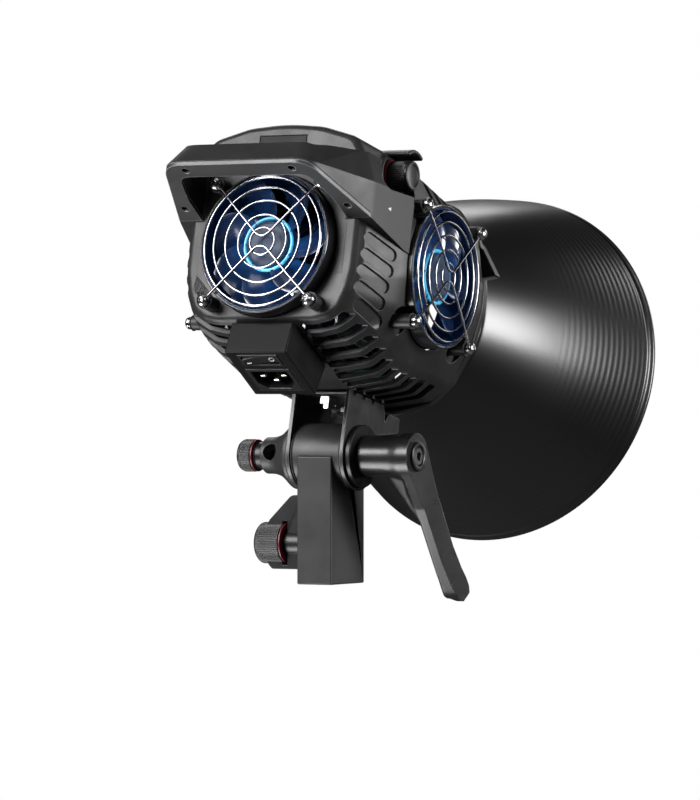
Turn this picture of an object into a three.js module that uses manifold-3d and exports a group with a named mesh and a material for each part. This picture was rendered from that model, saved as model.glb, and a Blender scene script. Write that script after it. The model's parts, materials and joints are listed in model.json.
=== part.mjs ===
// Monolight: a continuous studio light head with a bowl reflector, tilting on a stand adapter.
// Millimetres, +Z up. The beam leaves towards -Y and the tilt axis runs along X.
// The origin is the centre of the blind end of the stand socket, where a 16 mm stud stops.
import * as THREE from 'three';
import { mergeVertices } from 'three/addons/utils/BufferGeometryUtils.js';
import { ConvexGeometry } from 'three/addons/geometries/ConvexGeometry.js';
import Module from 'manifold-3d';

const wasm = await Module();
wasm.setup();

// ---- driving dimensions -------------------------------------------------------------------
const GAP = 0.35;                 // clearance between neighbouring pieces
const WALL = 3;                   // housing wall

// stand adapter, measured from the tilt axis
const SOCKET_DEPTH = 45;
const SOCKET_RADIUS = 8.2;
const ADAPTER_BOTTOM = 77.7;      // tilt axis down to the adapter's open end
const PIVOT_Z = ADAPTER_BOTTOM - SOCKET_DEPTH;
const TUBE_HALF_X = 11.9;
const TUBE_HALF_Y = 20.9;
const BARREL_RADIUS = 20.5;
const BARREL_HALF = 17;
const BOLT_RADIUS = 5;

// bracket
const SHEET = 2.2;
const PLATE_IN = BARREL_HALF + 0.4;
const PLATE_OUT = PLATE_IN + SHEET;
const WEB_TOP = 36.6;

// head, measured from the tilt axis with the beam level
const NOSE_DOWN = 12.5;           // degrees, the pose it is built in
const OPTICAL_Z = 100.6;
const SHELL_FRONT = -32.6;
const SHELL_REAR = 98;
const SIDE_TURN_Y = 62;           // where the flank turns in towards the back
const CHEEK_MIDDLE_Y = 80;
const BELLY_TURN_Y = 33.6;        // where the belly starts to rise towards the back
const SEAM_Z = 109.5;             // seam between the shell and the top cover
const LIP_SLOPE = 0.374;          // the cover's lower edge rises towards the handle
const HANDLE_REAR = 151.6;
const HANDLE_BAR = 11.4;
const RIM_THICKNESS = 2.5;

// fans
const FAN_Z = 107;
const SIDE_FAN_Y = 16.6;
const SIDE_GUARD_X = 77;
const REAR_GUARD_Y = 109.6;
const FAN_RADIUS = 43.5;
const FAN_BORE = 40.5;
const FAN_DEPTH = 25;
const FAN_HOLE = 35.75;           // half the 71.5 mm hole spacing of an 80 mm fan
const FAN_SEAT = -1.5;            // the frame's outer face, below the guard
const WIRE = 0.8;
const GUARD_RINGS = [39.3, 33, 25, 16.3, 8.3];
const POST_RADIUS = 5;
const WELL_IN = 60;               // the wall that carries a side fan's posts
const WELL_OUT = 63;

// vents, knobs
const RIB_PITCH = 12;
const FIRST_SLOT_Y = -18;
const SLOT_COUNT = 10;
const SLOT_WIDTH = 7.6;
const SLOT_INNER_X = 22;
const KNOB_Y = 53;
const KNOB_Z = 160.5;
const KNOB_FLOOR_X = 50.2;

// power box panel: its rear edge and its front edge
const BOX_HALF = 20.9;
const PANEL_REAR = new THREE.Vector2(104.3, 40.8);
const PANEL_FRONT = new THREE.Vector2(62.5, 24.2);

// reflector
const RIM_Y = -208;
const RIM_RADIUS = 113;
const BOWL_BACK_Y = -46;
const BOWL_BACK_RADIUS = 63;
const SPUN = 1.6;                 // bowl sheet
const BOWL_STEPS = 4;

// ---- small helpers ------------------------------------------------------------------------
const X_AXIS = new THREE.Vector3(1, 0, 0);
const Y_AXIS = new THREE.Vector3(0, 1, 0);
const Z_AXIS = new THREE.Vector3(0, 0, 1);
const radians = THREE.MathUtils.degToRad;

function solid(geometry) {
  const bare = geometry.clone();
  bare.deleteAttribute('normal');
  bare.deleteAttribute('uv');
  const merged = mergeVertices(bare, 1e-4);
  const points = merged.attributes.position.array;
  const index = merged.index.array;
  const triangles = [];
  let volume = 0;
  const corner = i => new THREE.Vector3().fromArray(points, 3 * i);
  for (let i = 0; i < index.length; i += 3) {
    const [a, b, c] = index.slice(i, i + 3);
    if (a === b || b === c || c === a) continue;
    triangles.push(a, b, c);
    volume += corner(a).dot(corner(b).cross(corner(c)));
  }
  if (volume < 0) triangles.reverse();
  return new wasm.Manifold(new wasm.Mesh({
    numProp: 3,
    vertProperties: points,
    triVerts: Uint32Array.from(triangles),
  }));
}

function surface(manifold) {
  const mesh = manifold.getMesh();
  const geometry = new THREE.BufferGeometry();
  geometry.setAttribute('position', new THREE.BufferAttribute(mesh.vertProperties, 3));
  geometry.setIndex(new THREE.BufferAttribute(mesh.triVerts, 1));
  geometry.computeVertexNormals();
  return geometry;
}

const join = (...pieces) => pieces.reduce((sum, piece) => sum.add(piece));
const cut = (body, ...tools) => tools.reduce((rest, tool) => rest.subtract(tool), body);

// frames that turn a piece drawn along +Z towards another direction, +Y staying up where it can
const toBasis = (x, y, z) => new THREE.Matrix4().makeBasis(x, y, z);
const LEFTWARD = toBasis(Y_AXIS, Z_AXIS, X_AXIS);
const RIGHTWARD = toBasis(Y_AXIS.clone().negate(), Z_AXIS, X_AXIS.clone().negate());
const REARWARD = toBasis(X_AXIS.clone().negate(), Z_AXIS, Y_AXIS);
const FORWARD = toBasis(X_AXIS, Z_AXIS, Y_AXIS.clone().negate());

const placed = (geometry, frame, x = 0, y = 0, z = 0) =>
  geometry.clone().applyMatrix4(frame).translate(x, y, z);

function outline(points) {
  return new THREE.Shape(points.map(([u, v]) => new THREE.Vector2(u, v)));
}

function prism(shape, depth, curveSegments = 8) {
  return new THREE.ExtrudeGeometry(shape, { depth, bevelEnabled: false, curveSegments });
}

// a (y, z) outline between two x planes, an (x, z) outline between two y planes
const acrossX = (shape, x0, x1, segments) =>
  solid(placed(prism(shape, x1 - x0, segments), LEFTWARD, x0, 0, 0));
const acrossY = (shape, y0, y1, segments) =>
  solid(placed(prism(shape, y1 - y0, segments), FORWARD, 0, y1, 0));
const acrossZ = (shape, z0, z1, segments) =>
  solid(prism(shape, z1 - z0, segments).translate(0, 0, z0));

function block(x0, x1, y0, y1, z0, z1) {
  const box = new THREE.BoxGeometry(x1 - x0, y1 - y0, z1 - z0);
  return solid(box.translate((x0 + x1) / 2, (y0 + y1) / 2, (z0 + z1) / 2));
}

// a turned piece along +Z from (radius, height) pairs; the ends close on the axis
function turned(profile, segments = 24) {
  const points = profile.map(([radius, height]) => new THREE.Vector2(radius, height));
  return new THREE.LatheGeometry(points, segments).rotateX(Math.PI / 2);
}

const rod = (radius, z0, z1, segments = 20) =>
  turned([[0, z0], [radius, z0], [radius, z1], [0, z1]], segments);

const collar = (inner, outer, z0, z1, segments = 20) =>
  turned([[inner, z0], [outer, z0], [outer, z1], [inner, z1], [inner, z0]], segments);

// both copies of a piece drawn on the +X side
function mirrored(geometry) {
  const other = geometry.clone().applyMatrix4(new THREE.Matrix4().makeScale(-1, 1, 1));
  return join(solid(geometry), solid(other));
}

// ---- scene graph --------------------------------------------------------------------------
const monolight = new THREE.Group();
const head = new THREE.Group();
head.position.z = PIVOT_Z;
head.rotation.x = radians(NOSE_DOWN);
const adapter = new THREE.Group();
adapter.position.z = PIVOT_Z;
monolight.add(adapter, head);

const FINISH = {
  housing: [0x2b2c2e, 0.55, 0],
  panel: [0x1c1d1f, 0.5, 0],
  black: [0x17181a, 0.45, 0],
  sheet: [0x2a2b2d, 0.5, 0.3],
  cast: [0x38393b, 0.5, 0.2],
  steel: [0xc8ccd0, 0.25, 1],
  brass: [0xc9a25a, 0.3, 1],
  red: [0xa01626, 0.4, 0],
  fan: [0x10357a, 0.25, 0],
  blade: [0x1f62c8, 0.2, 0],
  bowl: [0x17181a, 0.35, 0.6],
  alloy: [0x9a9ea3, 0.4, 0.9],
  board: [0x1d5a38, 0.6, 0],
  phosphor: [0xe8d27a, 0.5, 0],
};

function add(parent, name, shape, finish) {
  const [color, roughness, metalness] = FINISH[finish];
  const material = new THREE.MeshStandardMaterial({ color, roughness, metalness });
  const geometry = shape.isBufferGeometry ? shape : surface(shape);
  const mesh = new THREE.Mesh(geometry, material);
  mesh.name = name;
  parent.add(mesh);
}

// ---- stand adapter ------------------------------------------------------------------------
const STAND_KNOB_Z = -53.4;

function standAdapter() {
  const barrel = solid(placed(rod(BARREL_RADIUS, -BARREL_HALF, BARREL_HALF, 36), LEFTWARD));
  const tube = block(-TUBE_HALF_X, TUBE_HALF_X, -TUBE_HALF_Y, TUBE_HALF_Y, -ADAPTER_BOTTOM, 0);
  const socket = rod(SOCKET_RADIUS, -ADAPTER_BOTTOM - 1, -PIVOT_Z, 24);
  const bolt = placed(rod(BOLT_RADIUS + GAP, -BARREL_HALF - 1, BARREL_HALF + 1), LEFTWARD);
  const stud = placed(rod(4 + GAP, 0, TUBE_HALF_X + 1), LEFTWARD, 0, 0, STAND_KNOB_Z);
  return cut(join(barrel, tube), solid(socket), solid(bolt), solid(stud));
}

// a round grip with straight ribs, drawn along +Z
function knurled(radius, z0, z1, ribs) {
  const points = [];
  for (let i = 0; i < 2 * ribs; i += 1) {
    const angle = (Math.PI * i) / ribs;
    const reach = i % 2 ? radius : radius - 0.5;
    points.push([reach * Math.cos(angle), reach * Math.sin(angle)]);
  }
  return solid(prism(outline(points), z1 - z0).translate(0, 0, z0));
}

function standKnob() {
  const stud = solid(rod(4, SOCKET_RADIUS + 0.5, 20, 16));
  const neck = solid(rod(8.6, 14, 31, 20));
  const grip = knurled(12.7, 30.5, 46.5, 20);
  const cap = solid(turned([[0, 46], [12.2, 46], [11.2, 47.7], [0, 47.7]], 20));
  const lobe = outline([
    [16, 29.6], [24.5, 29.6], [41, 13], [41, 0], [41, -12.6], [38, -15.8], [16, -15.8],
    [16, -6], [27.2, -6], [27.2, -13.4], [30.6, -13.4], [30.6, 13.4], [27.2, 13.4],
    [27.2, 6], [16, 6],
  ].map(([x, z]) => [z, x]));
  const wing = solid(placed(prism(lobe, 11), LEFTWARD, -5.5, 0, 0));
  return join(stud, neck, grip, cap, wing);
}

add(adapter, 'stand_adapter', standAdapter(), 'cast');
add(adapter, 'pivot_bolt', placed(rod(BOLT_RADIUS, -37, 33, 20), LEFTWARD), 'steel');
add(adapter, 'stand_knob',
  surface(standKnob()).applyMatrix4(LEFTWARD).translate(0, 0, STAND_KNOB_Z), 'black');
add(adapter, 'stand_knob_ring',
  placed(collar(9, 13, 27.6, 30.2), LEFTWARD, 0, 0, STAND_KNOB_Z), 'red');

// ---- tilt lever ---------------------------------------------------------------------------
const LEVER_BOSS = 12.8;
const LEVER_FACE = 60;
const LEVER_LENGTH = 95;
const LEVER_TIP_RADIUS = 8.6;
const LEVER_LEAN = 33.5;            // degrees in front of straight down

function tiltLever() {
  const boss = solid(turned([
    [0, 23.9], [LEVER_BOSS, 23.9], [LEVER_BOSS, 44], [14, 54], [14, LEVER_FACE], [0, LEVER_FACE],
  ], 24));
  const blade = new THREE.Shape();
  blade.absarc(0, 0, 14, 0, Math.PI, false);
  blade.lineTo(-9.6, -32);
  blade.lineTo(-LEVER_TIP_RADIUS, -LEVER_LENGTH);
  blade.absarc(0, -LEVER_LENGTH, LEVER_TIP_RADIUS, Math.PI, 2 * Math.PI, false);
  blade.lineTo(9.6, -32);
  blade.closePath();
  const slab = solid(prism(blade, 7, 5).translate(0, 0, LEVER_FACE - 7));
  // the grip end kicks outwards
  const kick = new ConvexGeometry([-1, 1].flatMap(side => [
    new THREE.Vector3(8.5 * side, -75, LEVER_FACE - 6.9),
    new THREE.Vector3(8.5 * side, -75, LEVER_FACE),
    new THREE.Vector3(7.8 * side, -100, LEVER_FACE - 2),
    new THREE.Vector3(7.8 * side, -100, LEVER_FACE + 4),
    new THREE.Vector3(5 * side, -104.5, LEVER_FACE),
    new THREE.Vector3(5 * side, -104.5, LEVER_FACE + 4),
  ]));
  // a web that runs from the boss into the back of the blade
  const web = new ConvexGeometry([-1, 1].flatMap(side => [
    new THREE.Vector3(11 * side, 4, 40),
    new THREE.Vector3(7 * side, -11, 40),
    new THREE.Vector3(8.6 * side, -42, LEVER_FACE - 6.8),
    new THREE.Vector3(11.5 * side, 6, LEVER_FACE - 6.8),
  ]));
  const ring = solid(collar(5.9, 9, LEVER_FACE - 1, LEVER_FACE + 1.4, 20));
  const body = join(boss, slab, solid(kick), solid(web), ring);
  return cut(body,
    solid(rod(BOLT_RADIUS + GAP, 20, 37.5)),
    solid(rod(2.5 + GAP, 37, LEVER_FACE, 14)),
    solid(rod(5.9, LEVER_FACE - 4, LEVER_FACE + 6, 20)));
}

function leverScrew() {
  const screw = solid(turned([
    [0, 38], [2.5, 38], [2.5, LEVER_FACE - 3.6], [5.5, LEVER_FACE - 3.6], [5.5, LEVER_FACE + 0.8],
    [0, LEVER_FACE + 0.8],
  ], 18));
  return cut(screw, solid(rod(2.9, LEVER_FACE - 2, LEVER_FACE + 2, 6)));
}

const leverFrame = RIGHTWARD.clone().premultiply(
  new THREE.Matrix4().makeRotationX(radians(-LEVER_LEAN)));
add(adapter, 'tilt_lever', surface(tiltLever()).applyMatrix4(leverFrame), 'black');
add(adapter, 'lever_screw', surface(leverScrew()).applyMatrix4(leverFrame), 'steel');
add(adapter, 'lever_washer',
  placed(collar(BOLT_RADIUS + GAP, 19, PLATE_OUT + GAP, 23.5, 28), RIGHTWARD), 'black');

// ---- bracket and umbrella holder ----------------------------------------------------------
const BRACKET_SCREWS = [10, -16];

function bracketPlate() {
  const reach = BARREL_RADIUS + 0.5;
  const plate = new THREE.Shape();
  plate.moveTo(20, WEB_TOP);
  plate.lineTo(-25, WEB_TOP);
  plate.lineTo(-28, 26.5);
  plate.lineTo(-32, 32.8);
  plate.lineTo(-46, 32.8);
  plate.lineTo(-46, 24);
  plate.absarc(0, 0, reach, radians(132), radians(360), false);
  plate.closePath();
  return plate;
}

function uBracket() {
  const plate = bracketPlate();
  const body = join(
    acrossX(plate, PLATE_IN, PLATE_OUT, 8),
    acrossX(plate, -PLATE_OUT, -PLATE_IN, 8),
    block(-PLATE_OUT + 0.1, PLATE_OUT - 0.1, -25, 20, WEB_TOP - SHEET, WEB_TOP));
  const bolt = placed(rod(BOLT_RADIUS + GAP, -PLATE_OUT - 1, PLATE_OUT + 1), LEFTWARD);
  const screws = BRACKET_SCREWS.map(y => solid(rod(3 + GAP, 30, 40, 12).translate(0, y, 0)));
  return cut(body, solid(bolt), ...screws);
}

function bracketScrew(y) {
  return turned([
    [0, 27], [3, 27], [3, 29.5], [5.5, 29.5], [5.5, WEB_TOP - SHEET - GAP],
    [3, WEB_TOP - SHEET - GAP], [3, 39], [0, 39],
  ], 10).translate(0, y, 0);
}

const UMBRELLA_X = 36;

function umbrellaHolder() {
  const body = solid(turned([
    [0, PLATE_OUT + GAP], [BARREL_RADIUS, PLATE_OUT + GAP], [BARREL_RADIUS, 22.6], [17.5, 26],
    [12.6, 32.5], [11.2, 37], [11.2, 43.8], [0, 43.8],
  ], 28));
  const shaftHole = solid(rod(5.2, -30, 30, 16).rotateY(Math.PI / 2).translate(0, 0, UMBRELLA_X));
  return cut(body, shaftHole,
    solid(rod(BOLT_RADIUS + GAP, 18, 33.4)),
    solid(rod(3 + GAP, UMBRELLA_X, 45, 14)));
}

function umbrellaKnob() {
  return join(
    solid(rod(3, UMBRELLA_X + 5.6, 46, 10)),
    solid(rod(9, 44.2, 49.4, 16)),
    solid(rod(6.8, 49, 53, 14)),
    knurled(10, 51.8, 60, 18),
    solid(turned([[0, 59.8], [9.6, 59.8], [8.8, 61.2], [0, 61.2]], 18)));
}

add(head, 'u_bracket', uBracket(), 'sheet');
BRACKET_SCREWS.forEach((y, i) => add(head, `bracket_screw_${i + 1}`, bracketScrew(y), 'steel'));
add(head, 'umbrella_holder', surface(umbrellaHolder()).applyMatrix4(LEFTWARD), 'cast');
add(head, 'umbrella_knob', surface(umbrellaKnob()).applyMatrix4(LEFTWARD), 'black');
add(head, 'umbrella_knob_ring', placed(collar(7.2, 10.2, 49.8, 51.4), LEFTWARD), 'red');

// ---- housing ------------------------------------------------------------------------------
// Each cross-section lists the (x, z) corners of the +X half from the belly to the crown.
const CROWN = [[49, 174], [25, 181], [0, 183.2]];
const SECTIONS = [
  [SHELL_FRONT, [[0, 36.9], [24, 37.2], [46.5, 40.6], [59, 51], [70.5, 76], [75.5, 98],
    [75.5, 112], [69, 142], [50, 162], [26, 169.5], [0, 172]]],
  [BELLY_TURN_Y, [[0, 37], [24, 37.3], [46.5, 41], [58.5, 50.5], [69.5, 75], [74, 98], [74, 128],
    ...CROWN]],
  [SIDE_TURN_Y, [[0, 47.4], [28, 47.7], [48, 50], [59, 57.5], [68.5, 78], [73, 98], [73, 128],
    ...CROWN]],
  [CHEEK_MIDDLE_Y, [[0, 53.9], [30, 54.1], [44.5, 57], [56.6, 63.5], [63, 78], [65.3, 92],
    [65.3, 128], ...CROWN]],
  [SHELL_REAR, [[0, 60.5], [35, 60.9], [43.5, 63.2], [50.4, 68.5], [54.8, 79], [57.6, 92],
    [57.6, 130], ...CROWN]],
];

function insetCorner([x, z], amount) {
  const corner = new THREE.Vector2(x, z - FAN_Z);
  corner.setLength(corner.length() - amount);
  return [corner.x, corner.y + FAN_Z];
}

function loft(inset, front, rear, every = 1) {
  const points = SECTIONS.flatMap(([y, corners]) => {
    const place = y === SHELL_FRONT ? front : Math.min(y, rear);
    const kept = corners.filter((corner, i) => i % every === 0 || i === corners.length - 1);
    return kept.flatMap(corner => {
      const [x, z] = insetCorner(corner, inset);
      return [new THREE.Vector3(x, place, z), new THREE.Vector3(-x, place, z)];
    });
  });
  return solid(new ConvexGeometry(points));
}

const lipHeight = y => SEAM_Z + Math.max(0, y - SIDE_TURN_Y) * LIP_SLOPE;

// everything above the seam line, raised by a lift
function aboveSeam(lift, reach = 170) {
  return acrossX(outline([
    [-60, SEAM_Z + lift], [SIDE_TURN_Y, SEAM_Z + lift], [reach, lipHeight(reach) + lift],
    [reach, 230], [-60, 230],
  ]), -100, 100);
}

function belowSeam(drop) {
  return acrossX(outline([
    [-60, SEAM_Z - drop], [-60, 0], [110, 0], [110, lipHeight(110) - drop],
    [SIDE_TURN_Y, SEAM_Z - drop],
  ]), -100, 100);
}

// the hood that runs back from the cover and carries the handle bar
function hoodHull() {
  const half = [
    [72.8, SIDE_TURN_Y, 100], [72.8, SIDE_TURN_Y, 128], [64, SIDE_TURN_Y, 148],
    [65.4, SHELL_REAR, 112], [65, SHELL_REAR, 146], [53, SHELL_REAR, 164],
    [51.6, 140, 130], [51, 139, 150], [48.4, 147.6, 132], [48, 147.6, 144], [42, HANDLE_REAR, 134],
    [42, HANDLE_REAR, 145], [43, 142, 157.4], [36, 142, 158.2],
  ];
  return solid(new ConvexGeometry(half.flatMap(([x, y, z]) =>
    [new THREE.Vector3(x, y, z), new THREE.Vector3(-x, y, z)])));
}

function handleOpening() {
  const rear = HANDLE_REAR - HANDLE_BAR;
  const shape = new THREE.Shape();
  shape.moveTo(-49.8, SHELL_REAR - 0.02);
  shape.lineTo(49.8, SHELL_REAR - 0.02);
  shape.lineTo(49, rear - 24);
  shape.lineTo(44.6, rear - 8);
  shape.quadraticCurveTo(42.5, rear, 34, rear);
  shape.lineTo(-34, rear);
  shape.quadraticCurveTo(-42.5, rear, -44.6, rear - 8);
  shape.lineTo(-49, rear - 24);
  shape.closePath();
  return acrossZ(shape, 90, 200, 4);
}

const FAN_CORNERS = [[1, 1], [1, -1], [-1, -1], [-1, 1]]
  .map(([u, v]) => [u * FAN_HOLE, v * FAN_HOLE]);

const FANS = [
  { side: 'rear', frame: REARWARD, at: [0, REAR_GUARD_Y, FAN_Z], floor: SHELL_REAR - REAR_GUARD_Y },
  { side: 'left', frame: LEFTWARD, at: [SIDE_GUARD_X, SIDE_FAN_Y, FAN_Z],
    floor: WELL_OUT - SIDE_GUARD_X },
  { side: 'right', frame: RIGHTWARD, at: [-SIDE_GUARD_X, SIDE_FAN_Y, FAN_Z],
    floor: WELL_OUT - SIDE_GUARD_X },
];

function fanCuts(fan) {
  const bore = placed(rod(FAN_RADIUS + 0.7, -FAN_DEPTH - 4, 10, 28), fan.frame, ...fan.at);
  const pockets = fan.side === 'rear' ? [] : FAN_CORNERS.map(([u, v]) =>
    solid(placed(rod(9, fan.floor, 14, 10).translate(u, v, 0), fan.frame, ...fan.at)));
  return [solid(bore), ...pockets];
}

function fanPosts(fan) {
  return FAN_CORNERS.map(([u, v]) => {
    const post = collar(2.3, POST_RADIUS, fan.floor - 1.5, -WIRE - 0.3, 8);
    return solid(placed(post.translate(u, v, 0), fan.frame, ...fan.at));
  });
}

function screwBores(fan) {
  return FAN_CORNERS.map(([u, v]) =>
    solid(placed(rod(2.3, -14, 0, 8).translate(u, v, 0), fan.frame, ...fan.at)));
}

// what stays under a recess of the given depth, whatever the skin's shape
const underRecess = depth => loft(depth, SHELL_FRONT - 5, SHELL_REAR);

// pill-shaped hollows stepping down each slanted rear cheek
const POCKETS = [[81.5, 109.6], [82.4, 99.7], [83.3, 89.7], [83.2, 79.8], [80.6, 69.8]];

function cheekPockets(side) {
  const turn = Math.atan2(73 - 57.6, SHELL_REAR - SIDE_TURN_Y);
  const pill = new THREE.Shape();
  pill.absarc(9.5, 0, 3.8, -Math.PI / 2, Math.PI / 2, false);
  pill.absarc(-9.5, 0, 3.8, Math.PI / 2, 1.5 * Math.PI, false);
  pill.closePath();
  const frame = new THREE.Matrix4().makeRotationZ(side * turn)
    .multiply(side > 0 ? LEFTWARD : RIGHTWARD);
  const lean = side * Math.atan(LIP_SLOPE * Math.cos(turn));
  const core = underRecess(1.3);
  return POCKETS.map(([y, z]) => {
    const x = 57.6 + (SHELL_REAR - y) * Math.tan(turn);
    const column = prism(pill, 16, 3).translate(0, 0, -10).rotateZ(lean);
    return solid(placed(column, frame, side * x, y, z)).subtract(core);
  });
}

function ventSlots() {
  const slots = [];
  for (let i = 0; i < SLOT_COUNT; i += 1) {
    const y = FIRST_SLOT_Y + i * RIB_PITCH;
    const top = 48.2 + Math.max(0, y - BELLY_TURN_Y) * 0.35;
    for (const side of [-1, 1]) {
      const x0 = side > 0 ? SLOT_INNER_X : -70;
      slots.push(block(x0, x0 + 70 - SLOT_INNER_X, y - SLOT_WIDTH / 2, y + SLOT_WIDTH / 2, 20, top));
    }
  }
  return slots;
}

function ribPegs() {
  const pegs = [];
  for (let i = 0; i < SLOT_COUNT - 1; i += 1) {
    const y = FIRST_SLOT_Y - RIB_PITCH / 2 + i * RIB_PITCH;
    const z = 37.2 + Math.max(0, y - BELLY_TURN_Y) * 0.365;
    pegs.push(mirrored(new THREE.SphereGeometry(1.7, 6, 2).translate(24.5, y, z - 0.2)));
  }
  return pegs;
}

// shallow grooves across the crown in front of the knobs
function crownGrooves() {
  const core = underRecess(1.8);
  return [-24, -12, 0, 12].map(y => block(-70, 70, y - 3, y + 3, 138, 200).subtract(core));
}

function knobBoss(side) {
  const frame = side > 0 ? LEFTWARD : RIGHTWARD;
  return solid(placed(rod(17, KNOB_FLOOR_X - 4, 62, 18), frame, 0, KNOB_Y, KNOB_Z));
}

function knobPocket(side) {
  const frame = side > 0 ? LEFTWARD : RIGHTWARD;
  return solid(placed(rod(14.2, KNOB_FLOOR_X, 90, 20), frame, 0, KNOB_Y, KNOB_Z));
}

// the lip that curls round the back and top of a knob
function knobHood(side) {
  const shape = new THREE.Shape();
  shape.absarc(0, 0, 15.3, radians(-62), radians(112), false);
  shape.absarc(0, 0, 12.4, radians(112), radians(-62), true);
  shape.closePath();
  const lip = prism(shape, 22, 5).applyMatrix4(LEFTWARD).translate(46, KNOB_Y, KNOB_Z);
  const both = lip.applyMatrix4(new THREE.Matrix4().makeScale(side, 1, 1));
  return solid(both);
}

const PORT_HALF = 16.2;
const PORT_Z = [164.6, 175.2];

function housing() {
  const outerShell = loft(0, SHELL_FRONT, SHELL_REAR);
  const cavity = loft(WALL, SHELL_FRONT - 5, SHELL_REAR - WALL, 2);
  const hood = hoodHull().intersect(aboveSeam(0));
  const wells = [-1, 1].map(side => {
    const [x0, x1] = side > 0 ? [WELL_IN, WELL_OUT] : [-WELL_OUT, -WELL_IN];
    return outerShell.intersect(block(x0, x1, -32, 70, 50, 160));
  });
  const bosses = [-1, 1].map(side => knobBoss(side).intersect(outerShell));
  let body = cut(join(outerShell, hood), cavity, handleOpening());
  body = join(body, ...wells, ...bosses);
  body = cut(body, ...FANS.flatMap(fanCuts));
  body = join(body, ...FANS.flatMap(fanPosts));
  body = cut(body, ...FANS.flatMap(screwBores));
  body = cut(body, knobPocket(1), knobPocket(-1));
  body = join(body, knobHood(1), knobHood(-1));
  body = cut(body, ...cheekPockets(1), ...cheekPockets(-1), ...ventSlots(), ...crownGrooves());
  body = join(body, ...ribPegs());
  const port = block(-PORT_HALF, PORT_HALF, SHELL_REAR - 2, SHELL_REAR + 1, ...PORT_Z);
  const screws = BRACKET_SCREWS.map(y => solid(rod(3 + GAP, 30, 45, 12).translate(0, y, 0)));
  return cut(body, port, ...screws);
}

const bodyShell = housing();

// the shell's back wall stands up behind the cover to carry the rear fan
const TOWER_TOP = 155.6;
const tower = join(
  block(-48.4, 48.4, 93.2, SHELL_REAR + 0.2, 100, TOWER_TOP),
  block(-44, 44, SHELL_REAR, REAR_GUARD_Y, 100, TOWER_TOP));
const towerRoom = join(
  block(-48.4 - GAP, 48.4 + GAP, 93.2 - GAP, SHELL_REAR + 0.5, 90, TOWER_TOP + GAP),
  block(-44, 44, SHELL_REAR, REAR_GUARD_Y, 90, TOWER_TOP + GAP));
const rimBand = aboveSeam(0.1).subtract(aboveSeam(RIM_THICKNESS));
const rimZone = rimBand.intersect(block(-100, 100, SHELL_REAR + 0.4, 200, 0, 300));
const rimRoom = aboveSeam(0).subtract(aboveSeam(RIM_THICKNESS + GAP))
  .intersect(block(-100, 100, SHELL_REAR, 200, 0, 300));
const RIM_SCREWS = [[-36, 146], [36, 146], [-55.5, 110], [55.5, 110]];
const rimHoles = RIM_SCREWS.map(([x, y]) => solid(rod(1.7, 100, 150, 10).translate(x, y, 0)));

add(head, 'rear_shell', bodyShell.intersect(belowSeam(0.2).add(tower)), 'housing');
add(head, 'top_cover',
  cut(bodyShell.intersect(aboveSeam(0.2)), towerRoom, rimRoom, ...rimHoles), 'housing');
add(head, 'handle_rim', cut(bodyShell.intersect(rimZone), ...rimHoles), 'black');
add(head, 'port_cover', block(-PORT_HALF + GAP, PORT_HALF - GAP, SHELL_REAR - 2 + GAP, SHELL_REAR,
  PORT_Z[0] + GAP, PORT_Z[1] - GAP), 'panel');

// ---- front ring, bayonet, reflector -------------------------------------------------------
const RING_FRONT = -38.6;
const FLANGE = [[0, 33.8], [23, 34.3], [46.5, 39.4], [60, 52.5], [71.5, 76.3], [76, 98], [76, 112],
  [70, 142], [51, 164], [27, 171.5], [0, 174]];
const RELEASE = [[-64.5, 146], [-80, 121.5], [-69.8, 120]];
const BAYONET_LIP = 50.5;
const BAYONET_GROOVE = 53.2;
const BAYONET_TWIST = 25;         // degrees the bowl turns between its lugs dropping in and locking
const KEYWAY_ANGLES = [90, 210, 330];

function frontRing() {
  const left = FLANGE.slice(1, -1).reverse().map(([x, z]) => [-x, z]);
  const plate = acrossY(outline([...FLANGE, ...left]), RING_FRONT, SHELL_FRONT - GAP);
  const bore = placed(rod(52, -5, 20, 32), FORWARD, 0, SHELL_FRONT, OPTICAL_Z);
  const notch = acrossY(outline([[-63.5, 147.5], [-82, 121.8], [-82, 118.6], [-68.6, 118.6]]),
    RING_FRONT - 1, SHELL_FRONT + 1);
  return cut(plate, solid(bore), notch);
}

function bayonetRing() {
  const ring = solid(turned([
    [BAYONET_GROOVE, 0.4], [61, 0.4], [61, 4], [57, 5.6], [BAYONET_LIP, 5.6], [BAYONET_LIP, 4],
    [BAYONET_GROOVE, 4], [BAYONET_GROOVE, 0.4],
  ], 32));
  const keyways = KEYWAY_ANGLES.map(angle =>
    solid(new THREE.BoxGeometry(8, 9, 20).translate(52, 0, 0).rotateZ(radians(angle))));
  return surface(cut(ring, ...keyways)).applyMatrix4(FORWARD)
    .translate(0, RING_FRONT, OPTICAL_Z);
}

// the bowl's outer line, from the collar to the rolled rim, as radius against distance
function bowlRadius(t) {
  const flare = BOWL_BACK_RADIUS + (RIM_RADIUS - BOWL_BACK_RADIUS) * t;
  return flare + 4.5 * Math.sin(Math.PI * t);
}

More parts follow.
